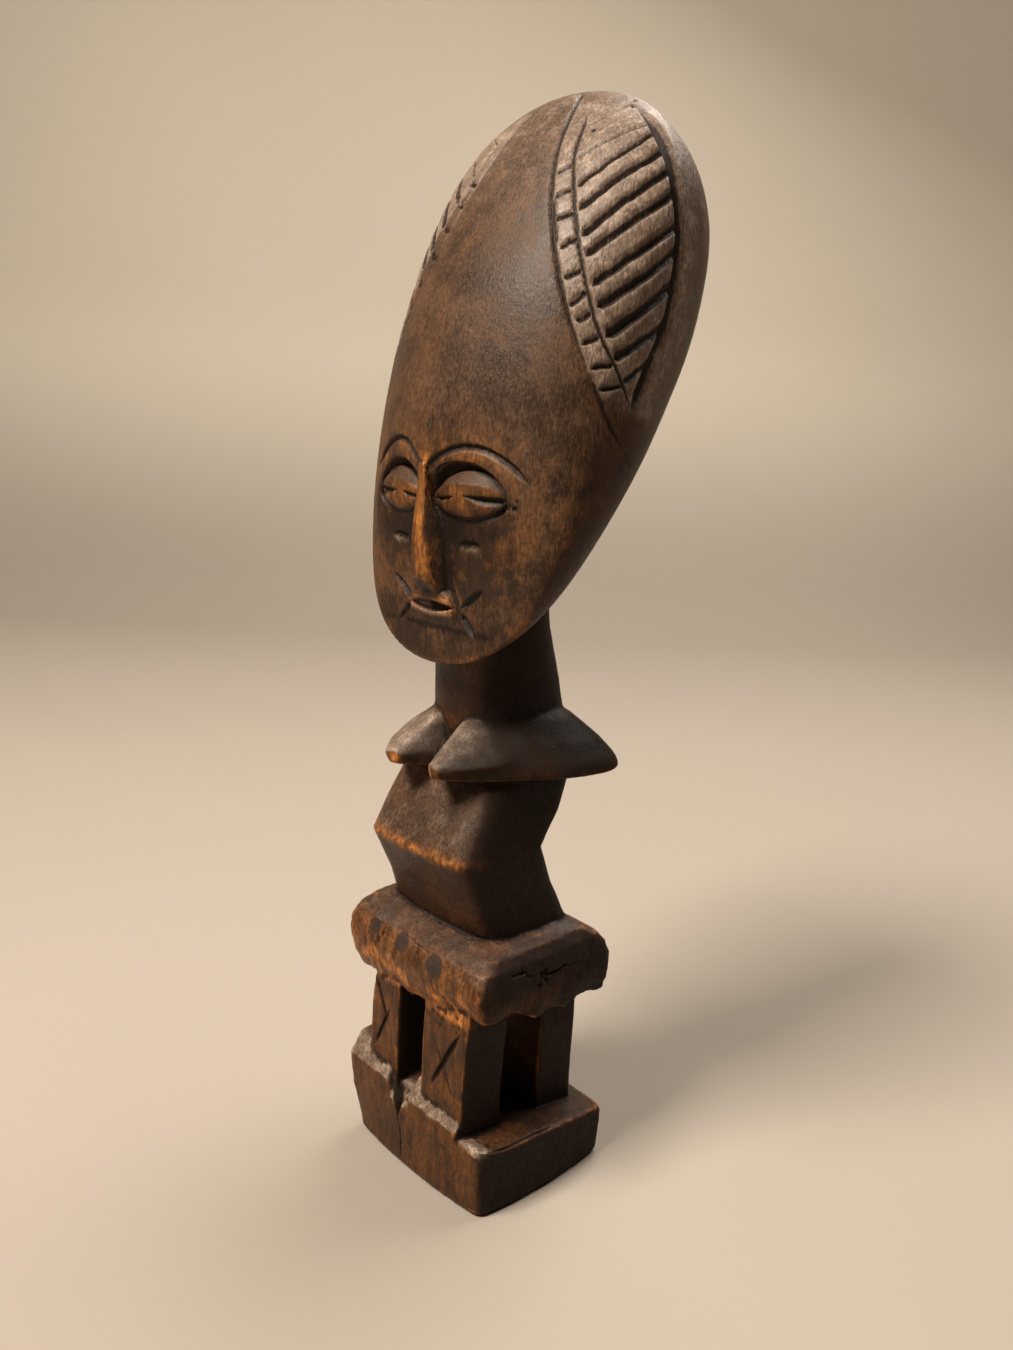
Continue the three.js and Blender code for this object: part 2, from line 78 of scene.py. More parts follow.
# Hair panels. A line holds millimetres up from the chin and the side angle in degrees, -90 at the face.
PANEL_BACK = (
    (66, 9), (75, 10.4), (88, 12.5), (98, 10), (106, 7), (114, 1.6), (122, -3), (130, -8), (135, -12.5),
)
PANEL_LEFT = {
    "front": (
        (56, 18), (60, 3), (64, -5), (73, -16.5), (84, -27.5), (98, -38), (111, -46), (124, -50), (140, -46),
    ),
    "column": (
        (67, 7), (71.4, -1.6), (78, -12.3), (87, -20.6), (99, -28.8), (111, -35), (119, -38), (132, -35),
    ),
    "back": PANEL_BACK,
}
PANEL_RIGHT = {
    "front": (
        (57, 5), (64, -12), (74, -29), (81, -38), (90, -45), (98, -51), (108, -54), (124, -56), (140, -52),
    ),
    "column": ((67, 2), (75, -15), (87, -29), (99, -38), (111, -42), (122, -43), (134, -40)),
    "back": PANEL_BACK,
}
# A knife holds width, depth, lean, pinch of the two ends as shares of the length, and sharpness. The knives
# of grooves and ticks leave out what each groove or tick brings.
# Each long knife line: the line it follows, from, to, and its knife.
PANEL_CUTS = (
    ("front", 66, 140, (1.7, 0.7, 0.0, (0.2, 0.03))),
    ("front", 54, 72, (3.2, 0.5, 0.0, (0.4, 0.3), 0.9)),
    ("column", 66, 131, (1.5, 0.7, 0.0, (0.06, 0.06))),
    ("back", 66, 134, (4.2, 1.3, -0.6, (0.05, 0.1))),
)
GROOVE_KNIFE = (0.62, (0.07, 0.05), 1.15)
TICK_KNIFE = (0.8, 0.5, (0.25, 0.1), 1.1)
# Each groove: height at the column line, height at the back line, width and depth.
GROOVES = (
    (70.9, 79.0, 2.6, 0.8), (74.6, 88.0, 3.4, 1.05), (78.4, 96.8, 3.8, 1.15), (83.4, 104.0, 3.4, 1.1),
    (88.0, 108.6, 3.0, 1.05), (93.8, 114.6, 3.0, 1.1), (98.6, 119.4, 2.8, 1.1), (104.2, 123.4, 2.8, 1.1),
    (110.2, 127.4, 2.3, 0.95), (117.2, 129.4, 1.5, 0.5), (126.6, 134.2, 1.2, 0.4),
)
# Each short cut between the front and column lines: its height at either line.
TICKS = (
    (66.9, 70.4), (70.4, 73.6), (74.8, 78.0), (79.6, 82.8), (82.6, 87.2), (88.7, 91.6), (94.9, 98.2),
    (101.7, 104.0), (107.8, 109.8), (114.0, 116.0),
)

# Face, in millimetres up from the chin and to the side of the midline.
CHEEK_SINK = 1.3
BROW_SWELL = 1.3
BROW_LEFT = {"inner": (0.6, 43.2), "peak": (14.2, 49.0), "outer": (28.8, 42.8)}
BROW_RIGHT = {"inner": (0.4, 43.4), "peak": (12.0, 50.0), "outer": (26.5, 43.6)}
SOCKET = {"side": 12.5, "up": 38.2, "half": 11.0, "rise": 7.7, "depth": 3.0}
EYE = {"side": 12.8, "up": 38.3, "tilt": 0.1, "half": 10.6, "rise": 5.9, "drop": 4.3}
# Lid from its lower edge at -1, over the slit at 0, to its upper edge at 1, and its height over the head.
LID = ((-1.4, -7), (-1.04, -1.6), (-0.93, -0.1), (-0.6, 0.6), (0, 1.0), (0.43, 1.15), (1.0, -1.2), (1.25, -4))
LID_EDGE = -1.4
SLIT = {"gape": 2.0, "depth": 1.8, "inner": 0.55}
NOSE = {
    "top": 43.6, "tip": 18.6, "bridge_lift": 1.8, "tip_lift": 3.6, "bridge_half": 1.2, "tip_half": 3.2,
    "foot_top": 1.9, "foot_low": 6.0,
}
MOUTH = {"half": 8.0, "low": 12.1, "high": 14.2, "from": -0.6, "to": 7.2}
# Lips by their distance from the mouth, and their height over the head.
LOWER_LIP = ((0, 0.9), (0.5, 1.35), (1.3, 1.2), (4.0, 0.3), (7, 0))
UPPER_LIP = ((0, 1.1), (0.5, 1.4), (2.0, 1.3), (3.6, 0.6), (5.2, -1.3))
CHEEK_MARK = {"inner": 9.0, "outer": 16.4, "up": 27.4, "rise": 0.8}
CORNER_CUTS = (((9.0, 13.7), (16.9, 19.3)), ((9.4, 13.0), (14.8, 8.0)))
BROW_KNIFE = (2.2, 1.0, -0.45, (0.05, 0.14))
MARK_KNIFE = (2.4, 0.9, -0.65, (0.25, 0.25))
CORNER_KNIFE = (2.0, 1.1, 0.4, (0.2, 0.3))
# The part of the face that gets smaller faces.
FINE_FACE = {"half": 26, "low": 7, "high": 48, "behind": -2}

# Body levels from the ground up: height, half width, front, back and bow. Bow is how far a side draws in
# towards its corners, as a share.
BASE_HEIGHT = 17.8
BASE_TOP_RISE = ((-24, 3.2), (-18, 1.2), (-12, 0.3), (0, -0.2), (22, -3.4))
BASE = (
    (-0.2, 27.2, -22.4, 23.8, 0.09),
    (1.0, 28.0, -23.4, 24.8, 0.085),
    (15.8, 28.7, -24.2, 25, 0.075),
    (17.2, 28.2, -23.7, 24.5, 0.075),
    (17.8, 27.2, -22.6, 23.6, 0.075),
)
FOOT_LEFT = {"from": -1.8, "to": 19.0, "top": 27.8}
FOOT_RIGHT = {"from": -28.2, "to": -8.6, "top": 29.6}
# Each level of a foot: drop below its top, front, and how much narrower it is on either side.
FOOT_LEVELS = (
    (26, -21.4, 1.6), (16, -23.4, 0.4), (6.6, -24.3, 0), (5.6, -24.1, 0), (0.6, -20.9, 0.3), (0, -20.0, 1.0),
)
FOOT_BACK = -12
FOOT_BOW = 0.04
LEDGE = {"from": -9.4, "to": -1.2, "top": 22.4, "low": 10, "front": -23.2, "back": -9, "slope": 0.12}
FOOT_GAP = {"middle": -5.6, "low": 13, "front": -22.6, "half": 0.1, "spread": 0.42, "slant": 0.3}
# Each leg's levels: height and its two sides.
FRONT_LEGS = (
    ((14, 2.2, 18.7), (30, 2.0, 18.9), (44, 2.3, 19.8), (54, 2.9, 21.2), (62, 3.0, 21.4)),
    ((14, -20.8, -8.0), (31, -20.5, -8.0), (42, -20.0, -7.8), (52, -18.6, -7.3), (62, -18.4, -7.2)),
)
REAR_LEGS = (
    ((14, 2.4, 18.6), (32, 2.0, 18.9), (40, 1.7, 19.2), (52, 2.4, 18.8), (62, 2.4, 18.8)),
    ((14, -21.6, -7.6), (32, -21.9, -7.3), (40, -22.2, -7.0), (52, -21.6, -7.6), (62, -21.6, -7.6)),
)
FRONT_LEG_DEPTH = (-22.3, -8.2)
REAR_LEG_DEPTH = (5.6, 18.8)
# Crossed cuts of each front leg: start and end as shares across and up, width, depth and lean.
LEG_CROSSES = (
    (((0.95, 0.92), (0.22, 0.02), 1.9, 1.0, 0.35), ((0.26, 0.72), (0.84, -0.02), 1.1, 0.4, 0.0)),
    (((0.14, 0.98), (0.72, 0.40), 1.6, 0.8, 0.3), ((0.74, 0.66), (0.16, 0.06), 1.6, 0.8, 0.3)),
)
LEG_CROSS_LOW = 27.8
LEG_CROSS_HEIGHT = 24.5
SEAT = (
    (50.2, 26.0, -20.8, 21.4, 0.02),
    (52.0, 27.8, -22.7, 23, 0.02),
    (56, 28.6, -24.6, 23.2, 0.02),
    (62.5, 28.8, -26, 23, 0.02),
    (65.6, 28.6, -25.8, 21.8, 0.03),
    (68.6, 27.6, -24.2, 19.2, 0.04),
    (71.0, 25.6, -21.2, 15.6, 0.05),
    (72.6, 23.0, -18.4, 12, 0.06),
    (73.2, 21.0, -16.6, 9.4, 0.06),
)
SEAT_MIDDLE = 63
SEAT_DROP = 12.8
# The scallops of the seat's lower edge meet at these angles.
SEAT_BITES = (-158, -136, -121, -99, -77, -45, -12, 16, 41, 64, 88, 112, 136, 158, 180, 202)
SEAT_BITE = {"inward": 1.1, "upward": 2.3}
SEAT_CORNER_LIFT = 3.8
SEAT_TOP_LIFT = 1.5
TORSO = (
    (62, 20.6, -13.2, 17, 0.06),
    (72, 21, -16.2, 15, 0.06),
    (83, 21.1, -20.2, 8.6, 0.06),
    (94.6, 21.2, -26.1, 4.2, 0.08),
    (103, 20.6, -21.8, 10.4, 0.07),
    (112, 19.6, -16.8, 14.6, 0.07),
    (120, 18, -13, 14, 0.1),
)
NECK = (
    (112, 15.9, -13.1, 19.3),
    (129, 15.8, -13.2, 19),
    (139, 15.2, -13.8, 16.4),
    (150, 14.4, -14.4, 13.4),
    (172, 13, -12, 11),
)
NECK_POWER = 2.3
SHOULDER_CENTRE_Y = 2
# The slab's rim by the angle from the front, the height of its top at the neck, and its section from the
# middle at 0 to the rim at 1.
SHOULDER_RIM = (
    (0, 19.5), (8, 24.2), (16, 28.5), (24, 27.7), (36, 26), (50, 25.2), (66, 25.2), (82, 27), (100, 30.6),
    (118, 33.6), (136, 28), (158, 22), (180, 20.5),
)
SHOULDER_NECK_Z = ((0, 124), (24, 128.5), (60, 129.5), (90, 129.5), (135, 130), (180, 132))
SHOULDER_TOP = ((0, 1.08), (0.5, 1.0), (0.62, 0.86), (0.84, 0.42), (1.0, 0.0))
SHOULDER_UNDER = ((0.1, 112.6), (0.45, 114), (0.95, 115), (1.0, 115.6))
SHOULDER_RIM_Z = 117.8
BREAST = {
    "tip": (8.0, -25.7, 117.3), "root": (11.5, -12, 119.6), "root_half": 7.5, "tip_half": 2.2, "flat": 0.6,
}
BREAST_POWER = 1.5
BREAST_BACK = 11

# Each drying crack or split: start, end, width, depth and how much it strays.
SPLITS = (
    ((-5.2, -23.9, 15.0), (-4.0, -23.4, 2.0), 0.8, 0.7, 0.16),
    ((27.2, -20, 19.4), (27.2, 4, 16.8), 1.0, 0.7, 0.15),
    ((27.6, -15.5, 67.6), (28.4, -8, 65.4), 0.9, 0.8, 0.3),
    ((28.4, -8, 65.4), (28.2, 6.5, 63.6), 1.1, 0.9, 0.3),
    ((-5, -24.6, 70), (6, -25.4, 68.6), 0.8, 0.4, 0.25),
    ((12, -18.5, 73), (22, -13, 72.4), 0.8, 0.4, 0.3),
    ((37.6, 14.6, 257.5), (34.6, 15.2, 262), 0.8, 0.45, 0.1),
)
# Stretches of height where the blade left the wood rough. The seat counts twice.
ROUGH_STRETCHES = ((48, 76), (-5, 30), (48, 68))

# Dark round marks on the seat's front edge, as places and radii.
KNOT_SPOTS = (((-15.4, -25.4, 67.8), 2.2), ((-3.7, -25.4, 67.6), 3.0), ((9.9, -25.4, 66.6), 3.1))

# Camera, from the photograph's view.
CAMERA_LENS = 29
CAMERA_SENSOR = 36
CAMERA_PLACE = (0.2012, -0.1863, 0.1998)
CAMERA_RIGHT = (0.6822, 0.7300, 0.0405)
CAMERA_UP = (-0.1915, 0.1250, 0.9735)

# Each light: its way from the target as shares of right, toward the camera and up, then distance, size,
# power and colour.
LIGHT_TARGET = (0, 0, 0.15)
LIGHTS = {
    "key": ((-0.55, 0.65, 0.90), 0.85, 0.35, 21, (1.0, 0.90, 0.78)),
    "fill": ((0.9, 0.8, 0.35), 1.1, 0.8, 0.12, (1.0, 0.82, 0.62)),
    "top": ((0.45, -0.2, 1.0), 0.85, 0.7, 11, (1.0, 0.93, 0.84)),
}
ROOM_LIGHT = (0.85, 0.80, 0.73, 1)
ROOM_STRENGTH = 0.03
FLOOR = {"half": 2.0, "near": -2.0, "far": 1.1, "rise": 1.6, "bend": 0.35}
FLOOR_COLOURS = ((0.36, 0.31, 0.26), (0.66, 0.59, 0.49))
FLOOR_ROUGHNESS = 0.9

# Noises of the wood: squeeze along Z, scale, detail and roughness.
NOISES = {
    "fibre": (0.1, 2600.0, 2.0, 0.6),
    "grain": (0.35, 1700.0, 3.0, 0.65),
    "streak": (0.16, 420.0, 4.0, 0.62),
    "blotch": (1.0, 85.0, 6.0, 0.68),
    "patch": (0.6, 30.0, 4.0, 0.55),
    "speck": (1.0, 900.0, 3.0, 0.7),
    "cloud": (1.0, 260.0, 5.0, 0.7),
}
# Colours of the wood. A pair runs from dark to light.
HEAD_STAIN = ((0.058, 0.030, 0.016), (0.098, 0.050, 0.025))
HEAD_PATCH = (0.125, 0.060, 0.029)
TRUNK_STAIN = ((0.026, 0.0085, 0.0022), (0.062, 0.021, 0.0055))
TRUNK_PATCH = (0.062, 0.028, 0.011)
DARK_STAIN = (0.026, 0.014, 0.009)
OCHRE_STAIN = (0.19, 0.076, 0.023)
BARE_WOOD = ((0.24, 0.080, 0.016), (0.64, 0.235, 0.050))
# Wood worn pale by scraping, with a painted sheen over it, then a painted highlight.
SCRAPED_WOOD_AND_SHEEN = (0.25, 0.178, 0.13)
PAINTED_HIGHLIGHT = (0.42, 0.32, 0.245)
# Painted shade, laid where the body turns away from the key light.
SHADED_WOOD = (0.006, 0.002, 0.0007)
PORE = (0.014, 0.006, 0.0025)
PALE_FIBRE = (0.19, 0.11, 0.066)
# Dirt in the hollows, with painted shade laid over it.
DIRT_AND_SHADE = (0.008, 0.004, 0.002)
KNOT = (0.030, 0.022, 0.018)

# How far each place is worn to bare wood, and how far each is painted pale, as wear with a painted sheen over
# it.
BARE_SHARES = {
    "brows": 0.224, "nose": 0.62, "lids": 0.55, "chin": 0.35, "seat_rim": 0.95, "slab_rim": 0.5, "waist": 0.8,
}
PALE_WEAR_AND_SHEEN_SHARES = {"lid_tops": 0.12, "seat_top": 0.12, "lip": 1.0}
# Bands of the front worn bare: share, from, to, soft stretch, and where along Y they start and are full.
BARE_BANDS = {
    "base": (0.12, 1, 24, 3, -18, -22),
    "legs": (0.14, 26, 50, 4, -18, -21),
    "breast_tips": (0.9, 114.5, 119, 1, -22, -26),
}
# Bands painted pale as a sheen on faces that look up, over some wear: the same, then how far a face has to
# look up where they start and are full.
PALE_SHEEN_BANDS = {
    "breasts": (0.9, 116.5, 128, 1.5, -10, -16, 0.1, 0.5),
    "feet": (0.9, 18, 29, 1, -17, -20, 0.15, 0.4),
    "chest": (0.22, 96, 113, 3, -14, -17, 0.2, 0.45),
}
SEAT_EDGE_BAND = (49.5, 60.5)
SEAT_FRONT_BAND = (50, 69)
SEAT_FRONT_SHARE = 0.3
# Painted sheen on the crown, the panel's lands worn pale with a painted sheen, and painted light on the lit
# walls of the back groove and of the cheek marks.
CROWN_SHEEN_SHARE = 0.42
PANEL_WEAR_AND_SHEEN = {"low": 67, "high": 135, "behind": -16}
PANEL_WALL = {"low": 68, "high": 134, "share": 0.8}
MARK_SHEEN = {"inner": 9.8, "outer": 15.8, "low": 27.0, "high": 28.1, "share": 0.5}


def fade(value, start, end):
    """0 at the start, 1 at the end, smooth between."""
    t = unit((value - start) / (end - start))
    return t * t * (3 - 2 * t)


def between(value, low, high, soft):
    """1 between two values, falling to 0 over a soft stretch."""
    return fade(value, low - soft, low + soft) * fade(value, high + soft, high - soft)


def unit(value):
    return np.clip(value, 0, 1)


def halves(low, high):
    """Middle and half length of a stretch."""
    return (low + high) / 2, (high - low) / 2


def toward(start, end, share):
    return start + (end - start) * share


def rounded(a, b, power):
    """Distance whose circle is a rounded square as the power grows."""
    return (np.abs(a) ** power + np.abs(b) ** power) ** (1 / power)


def bell(value, middle, width):
    """1 in the middle, falling to 0 on both sides."""
    return np.exp(-(((value - middle) / width) ** 2))


def steps(value, pairs):
    return np.interp(value, *zip(*pairs))


def smooth_line(pairs, along):
    """Smooth curve through (along, value) pairs, level beyond its ends."""
    keys, values = (np.array(column, float) for column in zip(*pairs))
    here = np.arange(len(keys))
    low, high = np.maximum(here - 1, 0), np.minimum(here + 1, len(keys) - 1)
    slopes = (values[high] - values[low]) / (keys[high] - keys[low])
    read = np.clip(along, keys[0], keys[-1])
    at = np.clip(np.searchsorted(keys, read, side="right") - 1, 0, len(keys) - 2)
    span = keys[at + 1] - keys[at]
    t = (read - keys[at]) / span
    rise = 3 * t**2 - 2 * t**3
    return (
        (1 - rise) * values[at] + (t**3 - 2 * t**2 + t) * span * slopes[at]
        + rise * values[at + 1] + (t**3 - t**2) * span * slopes[at + 1]
    )


def smooth_min(a, b, blend):
    share = unit(0.5 + 0.5 * (b - a) / blend)
    return b + (a - b) * share - blend * share * (1 - share)


def smooth_max(a, b, blend):
    return -smooth_min(-a, -b, blend)


class Wood:
    """A body of wood built up by steps. Each gives signed distances in millimetres, negative inside."""

    def __init__(self):
        self.steps = []

    def join(self, low, high, shape, blend):
        self.steps.append((low, high, lambda d, x, y, z: smooth_min(d, shape(x, y, z), blend)))

    def carve(self, low, high, shape, blend):
        self.steps.append((low, high, lambda d, x, y, z: smooth_max(d, -shape(x, y, z), blend)))

    def raised(self, low, high, height):
        self.steps.append((low, high, lambda d, x, y, z: d - height(x, y, z)))

    def on_grid(self, axes):
        distance = np.full([len(axis) for axis in axes], FAR, np.float32)
        for low, high, change in self.steps:
            cut = tuple(slice(*np.searchsorted(axis, (a, b))) for axis, a, b in zip(axes, low, high))
            x, y, z = (axis[part] for axis, part in zip(axes, cut))
            distance[cut] = change(distance[cut], x[:, None, None], y[None, :, None], z[None, None, :])
        return distance

    def at(self, points):
        distance = np.full(len(points), FAR)
        for low, high, change in self.steps:
            inside = np.where(np.all((points >= low) & (points < high), axis=1))[0]
            distance[inside] = change(distance[inside], *points[inside].T)
        return distance


def at_height(levels, z):
    """Sizes of a body at a height, and how far the height lies beyond its levels."""
    heights, *sizes = zip(*levels)
    return [np.interp(z, heights, values) for values in sizes], np.maximum(heights[0] - z, z - heights[-1])


def bowed_box(levels, x, y, z, corner, centre=0.0):
    """Box with slightly bowed sides and an outline that changes with height."""
    (half, front, back, bow), beyond = at_height(levels, z)
    middle, reach = halves(front, back)
    share_x = np.clip((x - centre) / half, -1, 1)
    share_y = np.clip((y - middle) / reach, -1, 1)
    bow = bow * np.where(y > middle, 0.6, 1)
    across = np.abs(x - centre) - half * (1 - bow * share_y**2)
    along = np.abs(y - middle) - reach * (1 - bow * share_x**2)
    return np.maximum(smooth_max(across, along, corner), beyond)


def chebyshev(weights, cosine):
    """Sum of weight n times sin(n angle) / sin(angle), from the angle's cosine."""
    before, now, total = np.zeros_like(cosine), np.ones_like(cosine), 0
    for weight in weights:
        total = total + weight * now
        before, now = now, 2 * cosine * now - before
    return total


def head_axes(x, y, z):
    """Across, up from the chin along the leaning head, and behind its axis."""
    along, rise = y - HEAD_CHIN[0], z - HEAD_CHIN[1]
    up = along * math.sin(HEAD_LEAN) + rise * math.cos(HEAD_LEAN)
    behind = along * math.cos(HEAD_LEAN) - rise * math.sin(HEAD_LEAN)
    return x + 0 * up, up, behind


def head_world(across, up, behind):
    y = HEAD_CHIN[0] + up * math.sin(HEAD_LEAN) + behind * math.cos(HEAD_LEAN)
    z = HEAD_CHIN[1] + up * math.cos(HEAD_LEAN) - behind * math.sin(HEAD_LEAN)
    return np.stack([across + 0 * up, y, z], -1)


def head_section(up, front):
    """Half width, depth and roundness of the head's section at a height."""
    phase = np.arccos(np.clip(1 - 2 * up / HEAD_LENGTH, -1, 1))

    def swell(weights):
        return sum(weight * np.sin((index + 1) * phase) for index, weight in enumerate(weights))

    depth = np.where(front, swell(HEAD_FRONT_DEPTH), swell(HEAD_BACK_DEPTH))
    return swell(HEAD_HALF_WIDTH), depth, np.where(front, HEAD_FRONT_POWER, HEAD_BACK_POWER)


def head_shape(x, y, z):
    across, up, behind = head_axes(x, y, z)
    cosine = 1 - 2 * up / HEAD_LENGTH
    facing = behind < 0
    half = np.maximum(chebyshev(HEAD_HALF_WIDTH, cosine), 4)
    depth = np.where(facing, chebyshev(HEAD_FRONT_DEPTH, cosine), chebyshev(HEAD_BACK_DEPTH, cosine))
    depth = np.maximum(depth, 4)
    power = np.where(facing, HEAD_FRONT_POWER, HEAD_BACK_POWER)
    wide, deep = np.abs(across / half), np.abs(behind / depth)
    total = np.maximum(wide**power + deep**power, 1e-6)
    ratio = total ** (2 / power)
    field = ratio + cosine**2 - 1
    slope = 2 * ratio / total * np.hypot(wide ** (power - 1) / half, deep ** (power - 1) / depth)
    slope = np.hypot(slope, 4 * cosine / HEAD_LENGTH)
    return np.clip(field / np.maximum(slope, 0.02), -FAR, FAR)


def head_point(angle, up):
    """Point of the head's surface at a side angle in degrees and millimetres up from the chin."""
    cosine, sine = np.cos(np.radians(angle)), np.sin(np.radians(angle))
    half, depth, power = head_section(up, sine < 0)
    reach = (np.abs(cosine / half) ** power + np.abs(sine / depth) ** power) ** (-1 / power)
    return head_world(reach * cosine, up, reach * sine)


def face_point(across, up):
    half, depth, power = head_section(up, True)
    behind = -depth * unit(1 - np.abs(across / half) ** power) ** (1 / power)
    return head_world(across, up, behind)


def eye_relief(side, up):
    """Deep socket with a half shut, almond shaped eye that stands out of it."""
    low = fade(up, 38.5, 34)
    ring = np.hypot((side - SOCKET["side"]) / SOCKET["half"], (up - SOCKET["up"]) / SOCKET["rise"])
    depth = SOCKET["depth"] * (1 - 0.55 * low)
    socket = -depth * fade(ring, 1.02, 0.9 - 0.3 * low)
    t = (side - EYE["side"]) / EYE["half"]
    arch = np.sqrt(unit(1 - t**2))
    above = up - EYE["up"] - EYE["tilt"] * (side - EYE["side"])
    share = above / np.maximum(np.where(above > 0, EYE["rise"], EYE["drop"]) * arch**1.3, 0.05)
    lid = (steps(share, LID) - LID_EDGE) * arch**0.8 + LID_EDGE - 6 * fade(np.abs(t), 0.97, 1.02)
    outer = fade(t, -0.1, 0.5) * fade(t, 1.0, 0.8)
    slit = outer + SLIT["inner"] * fade(t, -0.25, -0.5) * fade(t, -0.97, -0.7)
    gape = np.maximum(SLIT["gape"] * slit, 0.05)
    cut = SLIT["depth"] * slit**0.7 * unit(1 + above / gape) * unit(1 - above / 0.3)
    return socket, lid - cut


def nose_relief(side, up):
    """Narrow ridge that widens to a blunt tip, cut off on a slant below."""
    share = unit((NOSE["top"] - up) / (NOSE["top"] - NOSE["tip"]))
    lift = toward(NOSE["bridge_lift"], NOSE["tip_lift"], fade(share, 0.1, 0.8))
    half = toward(NOSE["bridge_half"], NOSE["tip_half"], share**1.3)
    foot = toward(NOSE["foot_top"], NOSE["foot_low"], fade(up, 38, 30))
    wall = np.clip((side - half) / (foot - half), 0, 2)
    section = lift - 0.045 * side**2 - (lift + CHEEK_SINK + 0.2) * wall
    below = np.clip(NOSE["tip"] - 0.2 * side - up, 0, 9)
    return section - 1.0 * below - 9 * fade(up, 44, 50)


def mouth_relief(across, side, up):
    """A low muzzle with a narrow shelf of a lower lip, and a mouth that opens towards the doll's left."""
    below = MOUTH["low"] + 0.022 * side**2 - up
    above = up - MOUTH["high"] + 0.012 * side**2
    drooping = above + 0.045 * side**2 * fade(above, 0.1, 1.4)
    muzzle = np.where(below > -0.6, steps(below, LOWER_LIP), steps(drooping, UPPER_LIP))
    half = MOUTH["half"] - 0.35 * np.clip(up - 13, 0, 6)
    muzzle = (muzzle + CHEEK_SINK) * fade(side, half + 1.0, half - 0.8) - CHEEK_SINK
    gap = unit(np.minimum(-below, -above) / 0.3 + 0.6)
    opened = fade(across, MOUTH["from"], MOUTH["from"] + 1) * fade(across, MOUTH["to"], MOUTH["to"] - 0.8)
    return muzzle - (0.5 + 1.3 * opened) * gap * fade(side, 7.8, 7.2)


def face_relief(x, y, z):
    """Height of the face's carving over the smooth head."""
    across, up, behind = head_axes(x, y, z)
    side = np.abs(across)
    swell = BROW_SWELL * bell(side, 0, 9) * fade(up, 38, 43) * fade(up, 66, 46)
    cheek = -CHEEK_SINK * fade(side, 25, 11) * fade(up, 8, 17) * fade(up, 45, 40)
    socket, lid = eye_relief(side, up)
    height = np.maximum(np.minimum(cheek, socket) + swell * fade(socket, -1, 0), lid - 0.4 * (across < 0))
    height = smooth_max(height, nose_relief(side, up), 0.4)
    mouth = smooth_max(height, mouth_relief(across, side, up), 0.3)
    near_mouth = fade(up, 20.5, 19) * fade(up, 4.5, 6) * (side < 10)
    height = mouth * near_mouth + height * (1 - near_mouth)
    facing = fade(behind, -1, -5) * fade(side, 34, 28) * fade(up, 1, 5) * fade(up, 68, 62)
    return height * facing * (0.97 - 0.3 * unit(side / 30) ** 2)


def neck(x, y, z):
    (half, front, back), beyond = at_height(NECK, z)
    middle, reach = halves(front, back)
    ratio = rounded(x / half, (y - middle) / reach, NECK_POWER)
    return np.maximum((ratio - 1) * half, beyond)


def shoulder(x, y, z):
    away = np.degrees(np.arctan2(np.abs(x), SHOULDER_CENTRE_Y - y))
    radius = np.hypot(x, y - SHOULDER_CENTRE_Y)
    rim = smooth_line(SHOULDER_RIM, away)
    share = radius / rim
    rise = (smooth_line(SHOULDER_NECK_Z, away) - SHOULDER_RIM_Z) * steps(share, SHOULDER_TOP)
    upper = z - SHOULDER_RIM_Z - rise
    lower = steps(share, SHOULDER_UNDER) - z
    return smooth_max(smooth_max(upper * 0.85, (radius - rim) * 0.9, 1.6), lower, 1.0)


def breast(turn):
    """Cone from its root on the slab to its tip, flatter than it is wide."""
    tip, root = (np.array(BREAST[key]) * (turn, 1, 1) for key in ("tip", "root"))
    axis = tip - root
    length = np.linalg.norm(axis)
    axis = axis / length
    wide = np.cross(axis, (0, 0, 1))
    wide = wide / np.linalg.norm(wide)
    ways = (axis, wide, np.cross(wide, axis))

    def shape(x, y, z):
        gap = [x - root[0], y - root[1], z - root[2]]
        along, sideways, high = (sum(part * share for part, share in zip(gap, way)) for way in ways)
        share = unit(along / length)
        half = toward(BREAST["root_half"], BREAST["tip_half"], share**1.6)
        half = half * np.sqrt(np.clip(1 - (np.clip(-along, 0, FAR) / BREAST_BACK) ** 2, 0.04, 1))
        section = rounded(sideways / half, high / (half * BREAST["flat"]), BREAST_POWER)
        ends = np.maximum(along - length, -along - BREAST_BACK)
        return smooth_max((section - 1) * half * 0.6, ends, 1.0)

    return shape


def seat(x, y, z):
    """Slab with a deeper front corner, a scalloped lower edge and a top that is higher on one side."""
    corner = SEAT_CORNER_LIFT * fade(x, 8, 20) * fade(y, -2, -14)
    under = SEAT_MIDDLE - (SEAT_MIDDLE - z) * SEAT_DROP / (SEAT_DROP - corner)
    lowered = np.where(z < SEAT_MIDDLE, under, z)
    lowered = lowered - SEAT_TOP_LIFT * fade(x, -6, -24) * fade(z, 60, 66)
    turn = np.degrees(np.arctan2(y / 24, x / 28))
    turn = np.where(turn < SEAT_BITES[0], turn + 360, turn)
    at = np.clip(np.searchsorted(SEAT_BITES, turn, side="right") - 1, 0, len(SEAT_BITES) - 2)
    bites = np.array(SEAT_BITES)
    width = bites[at + 1] - bites[at]
    scoop = unit(np.sin(np.pi * (turn - bites[at]) / width)) ** 0.75 * np.clip(width / 26, 0.4, 1)
    flat = bowed_box(SEAT, x, y, lowered, 4.0)
    flat = flat + SEAT_BITE["inward"] * scoop * fade(lowered, 60, 52)
    edge = (SEAT[0][0] + SEAT_BITE["upward"] * scoop - lowered) * 0.9
    return smooth_max(flat, edge, 0.7)


def base(x, y, z):
    rise = steps(y, BASE_TOP_RISE)
    return bowed_box(BASE, x, y, z * BASE_HEIGHT / (BASE_HEIGHT + rise), 3.0)


def foot(one):
    middle, half = halves(one["from"], one["to"])
    levels = [
        (one["top"] - drop, half - trim, front, FOOT_BACK, FOOT_BOW) for drop, front, trim in FOOT_LEVELS
    ]
    return lambda x, y, z: bowed_box(levels, x, y, z, 1.0, middle)


